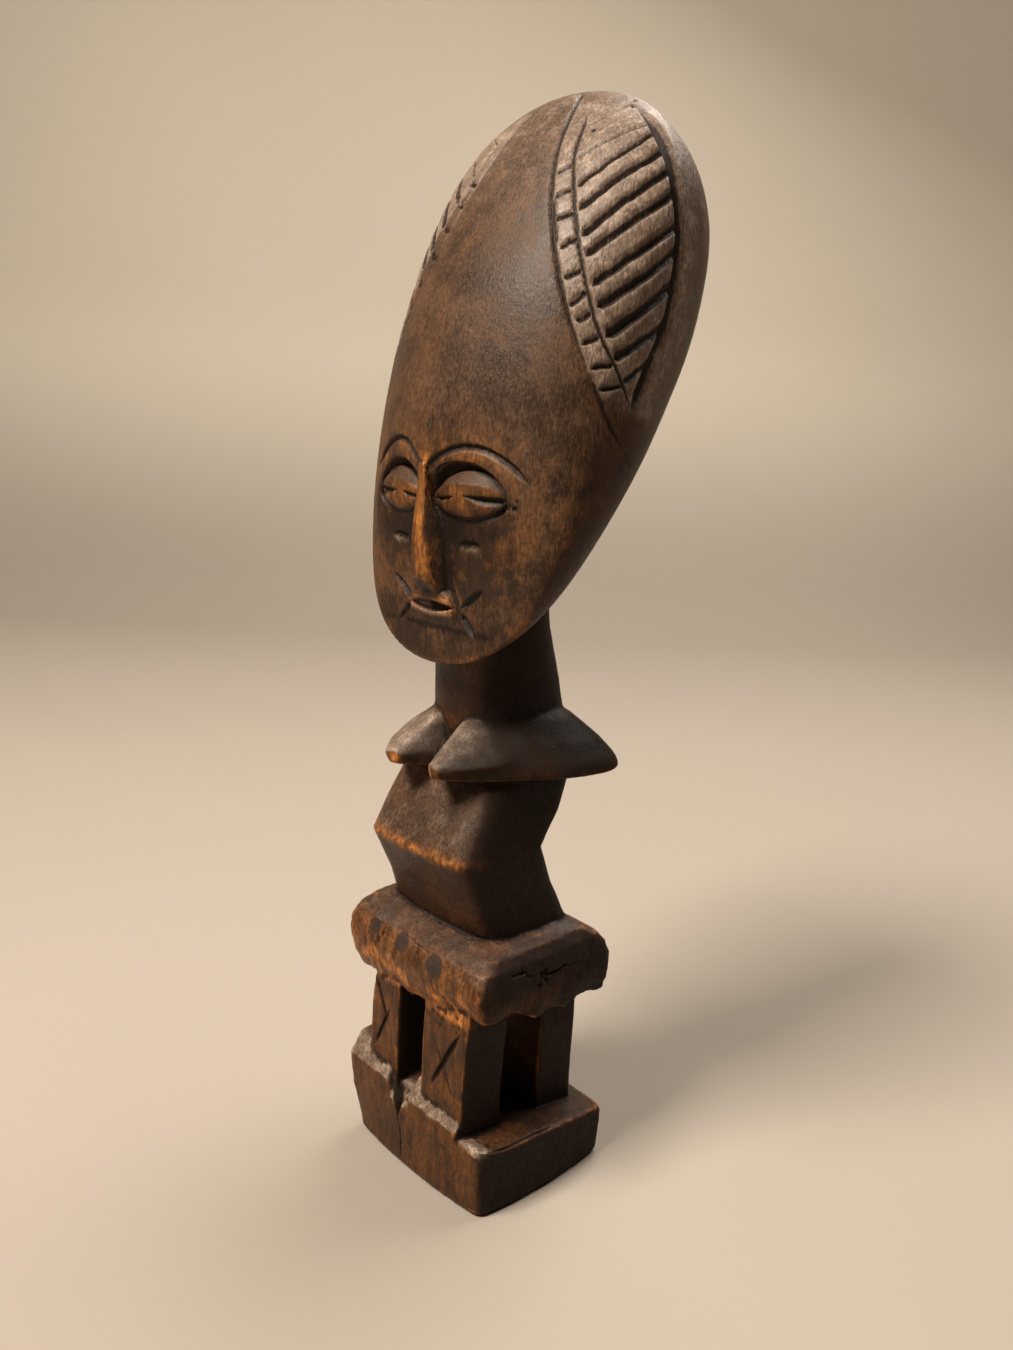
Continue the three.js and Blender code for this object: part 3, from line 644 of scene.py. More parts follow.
def ledge(x, y, z):
    """Low step between the feet."""
    middle, half = halves(LEDGE["from"], LEDGE["to"])
    top = LEDGE["top"] + LEDGE["slope"] * (y - LEDGE["front"]) - z
    side = np.abs(x - middle) - half
    along = np.maximum(LEDGE["front"] - y, y - LEDGE["back"])
    return np.maximum(np.maximum(side, along), np.maximum(-top, LEDGE["low"] - z))


def leg(levels, depth):
    def shape(x, y, z):
        (low, high), beyond = at_height(levels, z)
        (across, half), (along, reach) = halves(low, high), halves(*depth)
        return np.maximum(smooth_max(np.abs(x - across) - half, np.abs(y - along) - reach, 0.9), beyond)

    return shape


def foot_gap(x, y, z):
    """Wedge cut between the feet, wider at the front and top."""
    middle = FOOT_GAP["middle"] - 0.08 * (z - 20)
    half = FOOT_GAP["half"] + FOOT_GAP["spread"] * np.maximum(z - 14.5, 0) * fade(y, -17, -24)
    behind = y - FOOT_GAP["front"] - FOOT_GAP["slant"] * (z - 14)
    return np.maximum(np.abs(x - middle) - half, np.maximum(FOOT_GAP["low"] - z, behind))


def carve_body():
    body = Wood()
    for one in (FOOT_LEFT, FOOT_RIGHT):
        body.join((-33, -30, -1.6), (33, -6, 34), foot(one), 0.5)
    body.join((-33, -30, -1.6), (33, -4, 30), ledge, 0.6)
    body.join((-33, -30, -1.6), (33, 30, 24), base, 0.6)
    body.carve((-14, -30, 8), (4, -16, 32), foot_gap, 0.5)
    for levels in FRONT_LEGS:
        body.join((-33, -28, 12), (33, 0, 63), leg(levels, FRONT_LEG_DEPTH), 0.3)
    for levels in REAR_LEGS:
        body.join((-33, 0, 12), (33, 24, 63), leg(levels, REAR_LEG_DEPTH), 0.3)
    body.join((-33, -30, 45), (33, 28, 78), seat, 0.4)
    body.join((-33, -30, 60), (33, 24, 122), lambda x, y, z: bowed_box(TORSO, x, y, z, 6.5), 0.3)
    body.join((-39, -30, 106), (39, 34, 136), shoulder, 1.4)
    for turn in (1, -1):
        body.join((-36, -30, 106), (36, 16, 138), breast(turn), 3.0)
    body.join((-24, -24, 110), (24, 28, 175), neck, 1.0)
    return body


def carve_head():
    head = Wood()
    head.join((LOW_CORNER[0], LOW_CORNER[1], 136), HIGH_CORNER, head_shape, 0.5)
    head.raised((-35, -30, 138), (35, 8, 216), face_relief)
    return head


class Doll:
    """Head and body as one surface, on a grid of distances and exactly at any point."""

    def __init__(self):
        self.parts = (carve_body(), carve_head())
        axes = [np.arange(a, b, GRID_STEP) for a, b in zip(LOW_CORNER, HIGH_CORNER)]
        self.grid = smooth_min(*(part.on_grid(axes) for part in self.parts), JOIN_BLEND)

    def at(self, points):
        return smooth_min(*(part.at(points) for part in self.parts), JOIN_BLEND)

    def settled(self, points, normals):
        """Points moved along their normals onto the surface."""
        gap = self.at(points)
        slope = np.maximum((self.at(points + normals * PROBE) - gap) / PROBE, 0.35)
        return points - normals * np.clip(gap / slope, -0.5, 0.5)[:, None]


def sampled(grid, points):
    """Grid values at any points, read smoothly between the grid's points."""
    place = (points - np.array(LOW_CORNER)) / GRID_STEP
    cell = np.clip(np.floor(place).astype(int), 0, np.array(grid.shape) - 2)
    part = place - cell
    total = 0
    for corner in CELL_CORNERS:
        weight = np.prod(np.where(np.array(corner) == 1, part, 1 - part), axis=1)
        total = total + weight * grid[tuple((cell + corner).T)]
    return total


def skin(grid):
    """Points and quads of the surface, with one point in each grid cell that it crosses."""
    inside = grid < 0
    count = sum(
        inside[tuple(slice(c, n - 1 + c) for c, n in zip(corner, inside.shape))].astype(np.int8)
        for corner in CELL_CORNERS
    )
    cells = np.argwhere((count > 0) & (count < 8))
    number = np.full(count.shape, -1, np.int64)
    number[tuple(cells.T)] = np.arange(len(cells))
    values = {corner: grid[tuple((cells + corner).T)] for corner in CELL_CORNERS}
    total, hits = np.zeros((len(cells), 3)), np.zeros(len(cells))
    for corner in CELL_CORNERS:
        for axis in range(3):
            if corner[axis]:
                continue
            a, b = values[corner], values[tuple(1 if k == axis else corner[k] for k in range(3))]
            crossed = (a < 0) != (b < 0)
            share = np.where(crossed, a / np.where(crossed, a - b, 1), 0)
            point = np.array(corner, float) + share[:, None] * np.eye(3)[axis]
            total += np.where(crossed[:, None], point, 0)
            hits += crossed
    points = np.array(LOW_CORNER) + (cells + total / hits[:, None]) * GRID_STEP
    quads = []
    for axis in range(3):
        first, second = (np.take(inside, range(k, inside.shape[axis] - 1 + k), axis) for k in (0, 1))
        turns = [(0, 0), (-1, 0), (-1, -1), (0, -1)]
        for entering in (False, True):
            at = np.argwhere((first != second) & (second == entering))
            corners = []
            for back in turns[::-1] if entering else turns:
                index = at.copy()
                index[:, [(axis + 1) % 3, (axis + 2) % 3]] += back
                corners.append(number[tuple(index.T)])
            quads.append(np.stack(corners, 1))
    return points, np.concatenate(quads)


def placed(name, data):
    """A new object in the scene."""
    obj = bpy.data.objects.new(name, data)
    bpy.context.scene.collection.objects.link(obj)
    return obj


def vectors(items, name):
    flat = np.empty(len(items) * 3, np.float32)
    items.foreach_get(name, flat)
    return flat.reshape(-1, 3).astype(float)


def mesh_points(mesh):
    return vectors(mesh.vertices, "co") / MM


def mesh_normals(mesh):
    return vectors(mesh.vertex_normals, "vector")


def move_points(mesh, points):
    mesh.vertices.foreach_set("co", (points * MM).astype(np.float32).ravel())
    mesh.update()


def cut_line(path, turn, width, depth, lean=0.0, pinch=(0.25, 0.25), sharp=1.0):
    """Knife line: a V that leans to one side, hollower as sharp grows, and pinched out at its ends."""
    return path, width, depth, lean * turn, pinch, sharp


def panel_lines():
    """Every knife line of the two hair panels, as points on the head's surface."""
    lines = []
    rng = np.random.default_rng(SEED)
    for turn, panel in ((1, PANEL_LEFT), (-1, PANEL_RIGHT)):

        def across_panel(first, up_0, trim_0, second, up_1, trim_1, count=14):
            t = np.linspace(0, 1, count)
            start = float(smooth_line(panel[first], up_0)) + trim_0
            end = float(smooth_line(panel[second], up_1)) - trim_1
            stray = 0.16 * rng.normal(size=count) + 0.35 * rng.normal() * np.sin(np.pi * t)
            return head_point(toward(start, end, t), toward(up_0, up_1, t) + stray) * (turn, 1, 1)

        for name, low, high, knife in PANEL_CUTS:
            up = np.linspace(low, high, 44)
            path = head_point(smooth_line(panel[name], up), up) * (turn, 1, 1)
            lines.append(cut_line(path, turn, *knife))
        for low, high, width, depth in GROOVES:
            path = across_panel("column", low + rng.uniform(-0.3, 0.3), 0.5, "back", high, 1.0)
            lines.append(cut_line(path, turn, width, depth, *GROOVE_KNIFE))
        for low, high in TICKS:
            path = across_panel("front", low, rng.uniform(-0.5, 1.2), "column", high, 0.2, 6)
            lines.append(cut_line(path, turn, rng.uniform(1.9, 2.5), *TICK_KNIFE))
    return lines


def face_lines():
    """Brow lines, cheek marks and the cuts beside the mouth."""
    lines = []
    t = np.linspace(0, 1, 40)
    for turn, brow in ((1, BROW_LEFT), (-1, BROW_RIGHT)):
        start, end = np.array(brow["inner"]), np.array(brow["outer"])
        peak = np.array([brow["peak"][0], 2 * brow["peak"][1] - (start[1] + end[1]) / 2])
        arc = [(1 - t) ** 2 * a + 2 * t * (1 - t) * b + t**2 * c for a, b, c in zip(start, peak, end)]
        mark = toward(CHEEK_MARK["inner"], CHEEK_MARK["outer"], t)
        cuts = [(arc, BROW_KNIFE), ((mark, CHEEK_MARK["up"] + CHEEK_MARK["rise"] * t), MARK_KNIFE)]
        for (side_0, up_0), (side_1, up_1) in CORNER_CUTS:
            cuts.append(((toward(side_0, side_1, t), toward(up_0, up_1, t)), CORNER_KNIFE))
        lines += [cut_line(face_point(turn * side, up), turn, *knife) for (side, up), knife in cuts]
    return lines


def leg_lines():
    """Crossed cuts on the front of each front leg."""
    lines = []
    t = np.linspace(0, 1, 14)
    for levels, pair in zip(FRONT_LEGS, LEG_CROSSES):
        _, low, high = levels[1]
        for start, end, width, depth, lean in pair:
            x = toward(low, high, toward(start[0], end[0], t))
            z = LEG_CROSS_LOW + LEG_CROSS_HEIGHT * toward(start[1], end[1], t)
            path = np.stack([x, np.full_like(x, FRONT_LEG_DEPTH[0]), z], 1)
            lines.append(cut_line(path, 1, width, depth, lean))
    return lines


def wander(start, end, size, seed, count=16):
    """Path between two points that strays a little to the sides."""
    rng = np.random.default_rng(seed)
    t = np.linspace(0, 1, count)[:, None]
    stray = np.cumsum(rng.normal(size=(count, 3)), axis=0)
    stray = stray - stray[0] - (stray[-1] - stray[0]) * t
    return toward(np.array(start), np.array(end), t) + size * stray


def cracks():
    """Drying cracks and splits that run with the grain."""
    return [
        cut_line(wander(start, end, stray, SEED + index), 1, width, depth)
        for index, (start, end, width, depth, stray) in enumerate(SPLITS)
    ]


def pits():
    """Small dents where the wood has broken away, as (point, radius, depth)."""
    rng = np.random.default_rng(SEED + 20)
    # Each broken place: its middle, its size, how many dents it has and how deep they are.
    places = (
        (head_point(9.5, 102.0), 2.4, 14, 0.9),
        (head_point(-12, 134.5), 3.0, 14, 0.7),
        (head_point(-30, 126), 1.6, 4, 0.5),
        (face_point(23.6, 38.6), 1.8, 9, 0.7),
        (np.array([28.3, -3.6, 64.4]), 1.8, 10, 0.9),
        (np.array([-5.5, -23.4, 18.6]), 1.3, 6, 1.0),
        (np.array([24.5, -21.5, 20.8]), 2.6, 8, 0.5),
    )
    dents = []
    for centre, size, count, deep in places:
        for _ in range(count):
            point = centre + rng.normal(size=3) * size * 0.5
            radius = rng.uniform(0.45, 0.95)
            dents.append((point, radius, deep * rng.uniform(0.5, 1)))
    return dents


def beside(points, normals, path, reach):
    """Points near a knife line: their indices, sideways offset and share along it."""
    near = np.where(np.all((points > path.min(0) - reach) & (points < path.max(0) + reach), axis=1))[0]
    best, offset, share = np.full(len(near), FAR), np.zeros(len(near)), np.zeros(len(near))
    here, up = points[near], normals[near]
    for index, (a, b) in enumerate(zip(path, path[1:])):
        span = b - a
        t = unit(((here - a) @ span) / (span @ span))
        gap = here - (a + t[:, None] * span)
        size = np.linalg.norm(gap, axis=1)
        sideways = np.cross(up, span / np.linalg.norm(span))
        closer = size < best
        best = np.where(closer, size, best)
        offset = np.where(closer, (gap * sideways).sum(1), offset)
        share = np.where(closer, (index + t) / (len(path) - 1), share)
    keep = best < reach
    return near[keep], offset[keep], share[keep]


def engraved(points, normals, lines, dents):
    """Depth of every knife line and dent at each point, and how near it is to the bottom of one."""
    depth, bottom = np.zeros(len(points)), np.zeros(len(points))

    def deepen(near, deeper, lower):
        depth[near] = np.maximum(depth[near], deeper)
        bottom[near] = np.maximum(bottom[near], lower)

    for path, width, deep, lean, (start, end), sharp in lines:
        near, offset, share = beside(points, normals, path, width + 1)
        taper = unit(np.minimum(share / start, (1 - share) / end))
        half = width / 2 * (0.35 + 0.65 * taper)
        shifted = offset + lean * half
        cut = unit(1 - np.abs(shifted) / np.where(shifted < 0, half * (1 - lean), half * (1 + lean))) ** sharp
        deepen(near, deep * taper * cut, taper * cut * min(1, deep))
    for centre, radius, deep in dents:
        near = np.where(np.all(np.abs(points - centre) < radius, axis=1))[0]
        gap = np.linalg.norm(points[near] - centre, axis=1) / radius
        deepen(near, deep * unit(1 - gap**2), unit(1.2 - gap))
    return depth, bottom


def refine(mesh, lines, dents):
    """Smaller faces beside the knife lines and on the face's carving."""
    points, normals = mesh_points(mesh), mesh_normals(mesh)
    close = np.zeros(len(points), bool)
    for path, width, *_ in lines:
        near, offset, _ = beside(points, normals, path, width + 1)
        close[near[np.abs(offset) < width / 2 + 0.6]] = True
    for centre, radius, _ in dents:
        close |= np.all(np.abs(points - centre) < radius + 0.5, axis=1)
    across, up, behind = head_axes(*points.T)
    face = (np.abs(across) < FINE_FACE["half"]) & (behind < FINE_FACE["behind"])
    close |= face & (up > FINE_FACE["low"]) & (up < FINE_FACE["high"])
    work = bmesh.new()
    work.from_mesh(mesh)
    work.verts.ensure_lookup_table()
    edges = [edge for edge in work.edges if close[edge.verts[0].index] and close[edge.verts[1].index]]
    bmesh.ops.subdivide_edges(work, edges=edges, cuts=1, use_grid_fill=True)
    work.to_mesh(mesh)
    work.free()


def waves(points, size, count, seed):
    """Smooth random swell from -1 to 1, with bumps of a given size."""
    rng = np.random.default_rng(seed)
    total = np.zeros(len(points))
    for _ in range(count):
        way = rng.normal(size=3)
        way *= 2 * np.pi / (size * rng.uniform(0.7, 1.4) * np.linalg.norm(way))
        total += np.sin(points @ way + rng.uniform(0, 2 * np.pi))
    return total / math.sqrt(count) / 1.4


def scoops(points, spacing, stretch, seed):
    """Flats that a blade leaves side by side: 0 in the middle of one, up to 1 on the ridges between."""
    rng = np.random.default_rng(seed)
    scaled = points / (spacing * np.array([1, 1, stretch]))
    keys = np.unique(np.floor(scaled * 2).astype(int), axis=0)
    seeds = (keys + rng.uniform(0, 1, keys.shape)) / 2
    seeds = seeds[rng.uniform(size=len(seeds)) < 0.45]
    tree = KDTree(len(seeds))
    for index, seed_point in enumerate(seeds):
        tree.insert(seed_point, index)
    tree.balance()
    gaps = np.array([tree.find(point)[2] for point in scaled])
    return unit(gaps) ** 2


def head_share(points):
    """1 on the head, 0 on the neck and body."""
    _, up, behind = head_axes(*points.T)
    near = np.maximum(fade(head_shape(*points.T), 1.8, 0.6), fade(behind, 1, -3))
    return fade(up, -3, 3) * (points[:, 2] > 138) * near


def hewn(points):
    """Unevenness of hand carving, as millimetres inward."""
    head = head_share(points)
    rough = sum(between(points[:, 2], low, high, 2) for low, high in ROUGH_STRETCHES)
    depth = 0.10 * head * waves(points, 24, 8, SEED + 1) + 0.10 * (1 - head) * waves(points, 13, 8, SEED + 2)
    depth = depth + (0.12 * (1 - head) + 0.22 * rough) * scoops(points, 5.5, 1.5, SEED + 3)
    return depth + (0.02 + 0.05 * rough) * waves(points, 2.4, 12, SEED + 4)


def spread(mesh, values, rounds):
    """Values averaged with their neighbours along the mesh's edges."""
    flat = np.empty(len(mesh.edges) * 2, np.int32)
    mesh.edges.foreach_get("vertices", flat)
    a, b = flat.reshape(-1, 2).T
    size = len(mesh.vertices)
    ties = np.bincount(a, minlength=size) + np.bincount(b, minlength=size)
    for _ in range(rounds):
        total = np.bincount(a, values[b], size) + np.bincount(b, values[a], size)
        values = 0.5 * values + 0.5 * total / np.maximum(ties, 1)
    return values


def bulge(mesh, rounds):
    """How far each point stands out of (above 0) or lies in (below 0) its surroundings, in millimetres."""
    points, normals = mesh_points(mesh), mesh_normals(mesh)
    smooth = np.stack([spread(mesh, points[:, axis], rounds) for axis in range(3)], 1)
    return ((points - smooth) * normals).sum(1)


def blurred(grid, reach):
    """Grid averaged twice over a cube."""
    span = 2 * reach + 1
    for axis in (0, 1, 2, 0, 1, 2):
        size = grid.shape[axis]
        padded = np.pad(grid, [(reach, reach) if k == axis else (0, 0) for k in range(3)], "edge")
        grid = sum(np.take(padded, range(at, at + size), axis) for at in range(span)) / span
    return grid


def make_doll():
    form = Doll()
    points, quads = skin(form.grid)
    mesh = bpy.data.meshes.new("carved_doll")
    mesh.from_pydata((points * MM).tolist(), [], quads.tolist())
    obj = placed("carved_doll", mesh)
    lines, dents = panel_lines() + face_lines() + leg_lines() + cracks(), pits()
    refine(mesh, lines, dents)
    for _ in range(2):
        move_points(mesh, form.settled(mesh_points(mesh), mesh_normals(mesh)))
    points, normals = mesh_points(mesh), mesh_normals(mesh)
    standing = points[:, 2] > 0.5
    cut = engraved(points, normals, lines, dents)[0] * standing
    move_points(mesh, points - normals * (cut + hewn(points) * standing)[:, None])
    thin(obj)
    add_wear_and_painted_light(mesh, form, lines, dents)
    fit_box(mesh)
    return obj


def thin(obj):
    """Fewer faces where the surface is smooth."""
    mesh = obj.data
    triangles = sum(len(face.vertices) - 2 for face in mesh.polygons)
    thinner = obj.modifiers.new("thin", "DECIMATE")
    thinner.ratio = min(1, MAX_TRIANGLES / triangles)
    bpy.context.view_layer.objects.active = obj
    bpy.ops.object.modifier_apply(modifier=thinner.name)
    mesh.shade_smooth()


def fit_box(mesh):
    """Keeps the surface inside the frame's box, by a scale of a fraction of a percent."""
    points = mesh_points(mesh)
    low, high = points.min(0), points.max(0)
    lowest, highest = np.array(cad_low) / MM, np.array(cad_high) / MM
    scale = np.minimum(1, (highest - lowest) / (high - low))
    points = np.clip(low, lowest, highest - (high - low) * scale) + (points - low) * scale
    points[:, 2] -= points[:, 2].min()
    move_points(mesh, points)


def add_wear_and_painted_light(mesh, form, lines, dents):
    """Where the finish is worn to bare wood or pale by scraping, where dirt and wax have gathered, and where
    shade, sheen and highlights are painted.
    """
    points, normals = mesh_points(mesh), mesh_normals(mesh)
    x, y, z = points.T
    facing_left, _, facing_up = normals.T
    across, up, behind = head_axes(x, y, z)
    side = np.abs(across)
    angle = np.degrees(np.arctan2(behind, side))
    on_head = head_share(points)
    on_face = fade(behind, -3, -8) * on_head
    fine = bulge(mesh, 4)
    broad = sampled(blurred(np.clip(form.grid, -2.5, 2.5), 2), points)
    _, bottom = engraved(points, normals, lines, dents)
    edge = unit(fine / 0.05) * 0.5 + fade(broad, 0.12, 0.65) * 0.8

    def eye_ring(middle, half, rise):
        return np.hypot((side - EYE["side"]) / half, (up - middle) / rise)

    def front_band(low, high, soft, start, full):
        return between(z, low, high, soft) * fade(y, start, full)

    edge_low, edge_high = SEAT_EDGE_BAND
    seat_edge = front_band(edge_low, edge_high + 1.5 * np.sin(x * 0.7) + np.sin(y * 0.9), 2, 16, -6)
    seat_front = SEAT_FRONT_SHARE * front_band(*SEAT_FRONT_BAND, 2, -17, -22)
    seat_outside = (np.hypot(x / 24, y / 20) > 0.98) * fade(z, 50.5, 52.5)
    bare = {
        "brows": on_face * bell(up, 46, 4.5) * fade(side, 28, 18),
        "nose": on_face * fade(side, 3.4 - 0.05 * (up - 20), 1.6) * between(up, 19, 46, 1.5),
        "lids": on_face * fade(eye_ring(37.2, 10, 3.8), 1.0, 0.6),
        "chin": on_face * bell(up, 8, 5),
        "seat_rim": np.maximum(seat_edge, seat_front) * seat_outside,
        "slab_rim": between(z, 114.5, 117, 0.8) * fade(np.hypot(x, y - SHOULDER_CENTRE_Y), 18, 24),
        "waist": bell(z, 95, 1.3) * fade(y, -14, -22),
    }
    warm = sum(BARE_SHARES[name] * mask for name, mask in bare.items())
    warm += sum(share * front_band(*band) for share, *band in BARE_BANDS.values())
    # Pale paint on the lid tops, seat top and lower lip: some wear with a painted sheen over it.
    pale = {
        "lid_tops": on_face * fade(eye_ring(43, 10, 2.6), 1.1, 0.8),
        "seat_top": between(z, 64, 75, 1.5) * fade(facing_up, 0.3, 0.7),
        "lip": on_face * between(up, 10.8, 12.6, 0.4) * fade(side, 8.5, 7.5),
    }
    pale_wear_and_sheen = sum(PALE_WEAR_AND_SHEEN_SHARES[name] * mask for name, mask in pale.items())
    # Painted sheen on the breasts, feet and chest where they face upwards.
    for share, *band, start, full in PALE_SHEEN_BANDS.values():
        pale_wear_and_sheen += share * front_band(*band) * fade(facing_up, start, full)
    # The panel's lands worn pale with a painted sheen, and a painted sheen on the crown.
    fronts = [smooth_line(lines_of["front"], up) for lines_of in (PANEL_LEFT, PANEL_RIGHT)]
    inside = np.where(x > 0, *(fade(angle, front - 1, front + 1) for front in fronts))
    past = angle - smooth_line(PANEL_BACK, up)
    panel = on_head * between(up, PANEL_WEAR_AND_SHEEN["low"], PANEL_WEAR_AND_SHEEN["high"], 3.5) * inside * fade(past, 22, 2)
    panel = panel * (behind > PANEL_WEAR_AND_SHEEN["behind"])
    pale_wear_and_sheen += np.maximum(panel, CROWN_SHEEN_SHARE * on_head * fade(up, 95, 140))
    # Painted light: the lit outer wall of the panel's back groove and the lower wall of each cheek mark are
    # painted pale, and painted shade is kept off them.
    wall = on_head * fade(past, 0.3, 2) * fade(past, 9, 5)
    wall = wall * between(up, PANEL_WALL["low"], PANEL_WALL["high"], 3)
    mark = on_face * between(side, MARK_SHEEN["inner"], MARK_SHEEN["outer"], 0.8)
    mark = mark * between(up, MARK_SHEEN["low"], MARK_SHEEN["high"], 0.4)
    painted_lit_walls = np.maximum(PANEL_WALL["share"] * wall, MARK_SHEEN["share"] * mark)

    # Darker in hollows and at the bottom of cuts: dirt in the recesses, together with painted shade.
    dirt_and_shade = unit(-fine / 0.06) * 0.6 + fade(-broad, 0.12, 0.6) * 0.8 + fade(bottom, 0.45, 0.9) * 0.7
    in_mouth = on_face * between(up, 11.5, 15, 0.5) * (side < 7)
    under_mouth = on_face * fade(up, 11.5, 10)
    dirt_and_shade = dirt_and_shade * (1 - 0.6 * in_mouth) * (1 - 0.9 * under_mouth)
    beside_nose = between(side, 4, 10.5, 2) * between(up, 17, 33, 3)
    # Painted shade in the eye sockets and beside the nose.
    painted_face_shade = 0.56 * fade(eye_ring(37.4, 12.5, 9), 1.3, 0.95) + 0.5 * beside_nose
    lower_side = on_head * fade(up, 78, 48) * fade(behind, -7, 8)
    lower_face = on_face * fade(up, 44, 26)
    # Painted shade: the body is darkened on sides that face away from the key light and on the shoulder under
    # the head, and through lower_side on the head's lower sides.
    painted_shade = fade(facing_left, 0.35, 0.8) + 0.8 * between(z, 112, 136, 8) * fade(x, 2, 14)
    layers = {
        "edge": spread(mesh, edge, 1),
        "warm": warm,
        "pale_wear_and_sheen": np.maximum(pale_wear_and_sheen * (1 - 0.8 * fade(bottom, 0.2, 0.7)), painted_lit_walls),
        "dirt_and_shade": (dirt_and_shade + painted_face_shade * on_face) * (1 - painted_lit_walls),
        "body": np.maximum(fade(z, 146, 132), np.maximum(0.9 * lower_side, 0.7 * lower_face)),
        "painted_shade": (1 - on_head) * painted_shade + 0.35 * lower_side,
        "mottled": 0.3 + 0.6 * on_head * fade(up, 60, 42) * fade(behind, 10, -6),
    }
    for name, values in layers.items():
        layer = mesh.attributes.new(name, "FLOAT", "POINT")
        layer.data.foreach_set("value", unit(values).astype(np.float32))


class Nodes:
    """Shorthand for a material's node tree. Its place is the object's own coordinates."""

    def __init__(self, name):
        self.material = bpy.data.materials.new(name)
        self.material.use_nodes = True
        self.tree = self.material.node_tree
        self.tree.nodes.clear()
        self.place = self.add("ShaderNodeTexCoord").outputs["Object"]

    def add(self, kind, **values):
        node = self.tree.nodes.new(kind)
        for name, value in values.items():
            setattr(node, name, value)
        return node

    def put(self, value, socket):
        if hasattr(value, "is_output"):
            self.tree.links.new(value, socket)
        elif isinstance(value, tuple) and len(value) == 3 and len(socket.default_value) == 4:
            socket.default_value = (*value, 1)
        else:
            socket.default_value = value

    def fill(self, node, inputs):
        for name, value in inputs.items():
            self.put(value, node.inputs[name])
        return node

    def noise(self, squeeze, scale, detail, rough):
        """Noise drawn out along Z as its squeeze falls below 1."""
        place = self.fill(self.add("ShaderNodeMapping"), {"Vector": self.place, "Scale": (1.0, 1.0, squeeze)})
        inputs = {"Vector": place.outputs["Vector"], "Scale": scale, "Detail": detail, "Roughness": rough}
        return self.fill(self.add("ShaderNodeTexNoise"), inputs).outputs["Fac"]

    def math(self, kind, *values):
        return self.fill(self.add("ShaderNodeMath", operation=kind), dict(enumerate(values))).outputs[0]

    def times(self, a, b):
        return self.math("MULTIPLY", a, b)

    def sum(self, *parts):
        """Sum of (value, weight) pairs."""
        total = self.times(*parts[0])
        for part in parts[1:]:
            total = self.math("ADD", total, self.times(*part))
        return total

    def ramp(self, value, low, high, start=0.0, end=1.0):
        node = self.add("ShaderNodeMapRange", interpolation_type="SMOOTHSTEP")
        inputs = {"Value": value, "From Min": low, "From Max": high, "To Min": start, "To Max": end}
        return self.fill(node, inputs).outputs["Result"]

    def mix(self, share, a, b, kind="MIX"):
        node = self.add("ShaderNodeMix", data_type="RGBA", blend_type=kind)
        return self.fill(node, {"Factor": share, 6: a, 7: b}).outputs[2]

    def disc(self, centre, radius, ragged):
        """1 inside a ball of a given radius, with an edge made ragged by a noise."""
        node = self.add("ShaderNodeVectorMath", operation="DISTANCE")
        gap = self.fill(node, {0: self.place, 1: centre}).outputs["Value"]
        gap = self.math("ADD", gap, self.times(ragged, radius * 0.8))
        return self.ramp(gap, radius * 1.45, radius * 1.3)

    def finished(self, inputs):
        """The material, with a shader of these inputs."""
        shader = self.fill(self.add("ShaderNodeBsdfPrincipled"), inputs)
        self.put(shader.outputs["BSDF"], self.add("ShaderNodeOutputMaterial").inputs["Surface"])
        return self.material


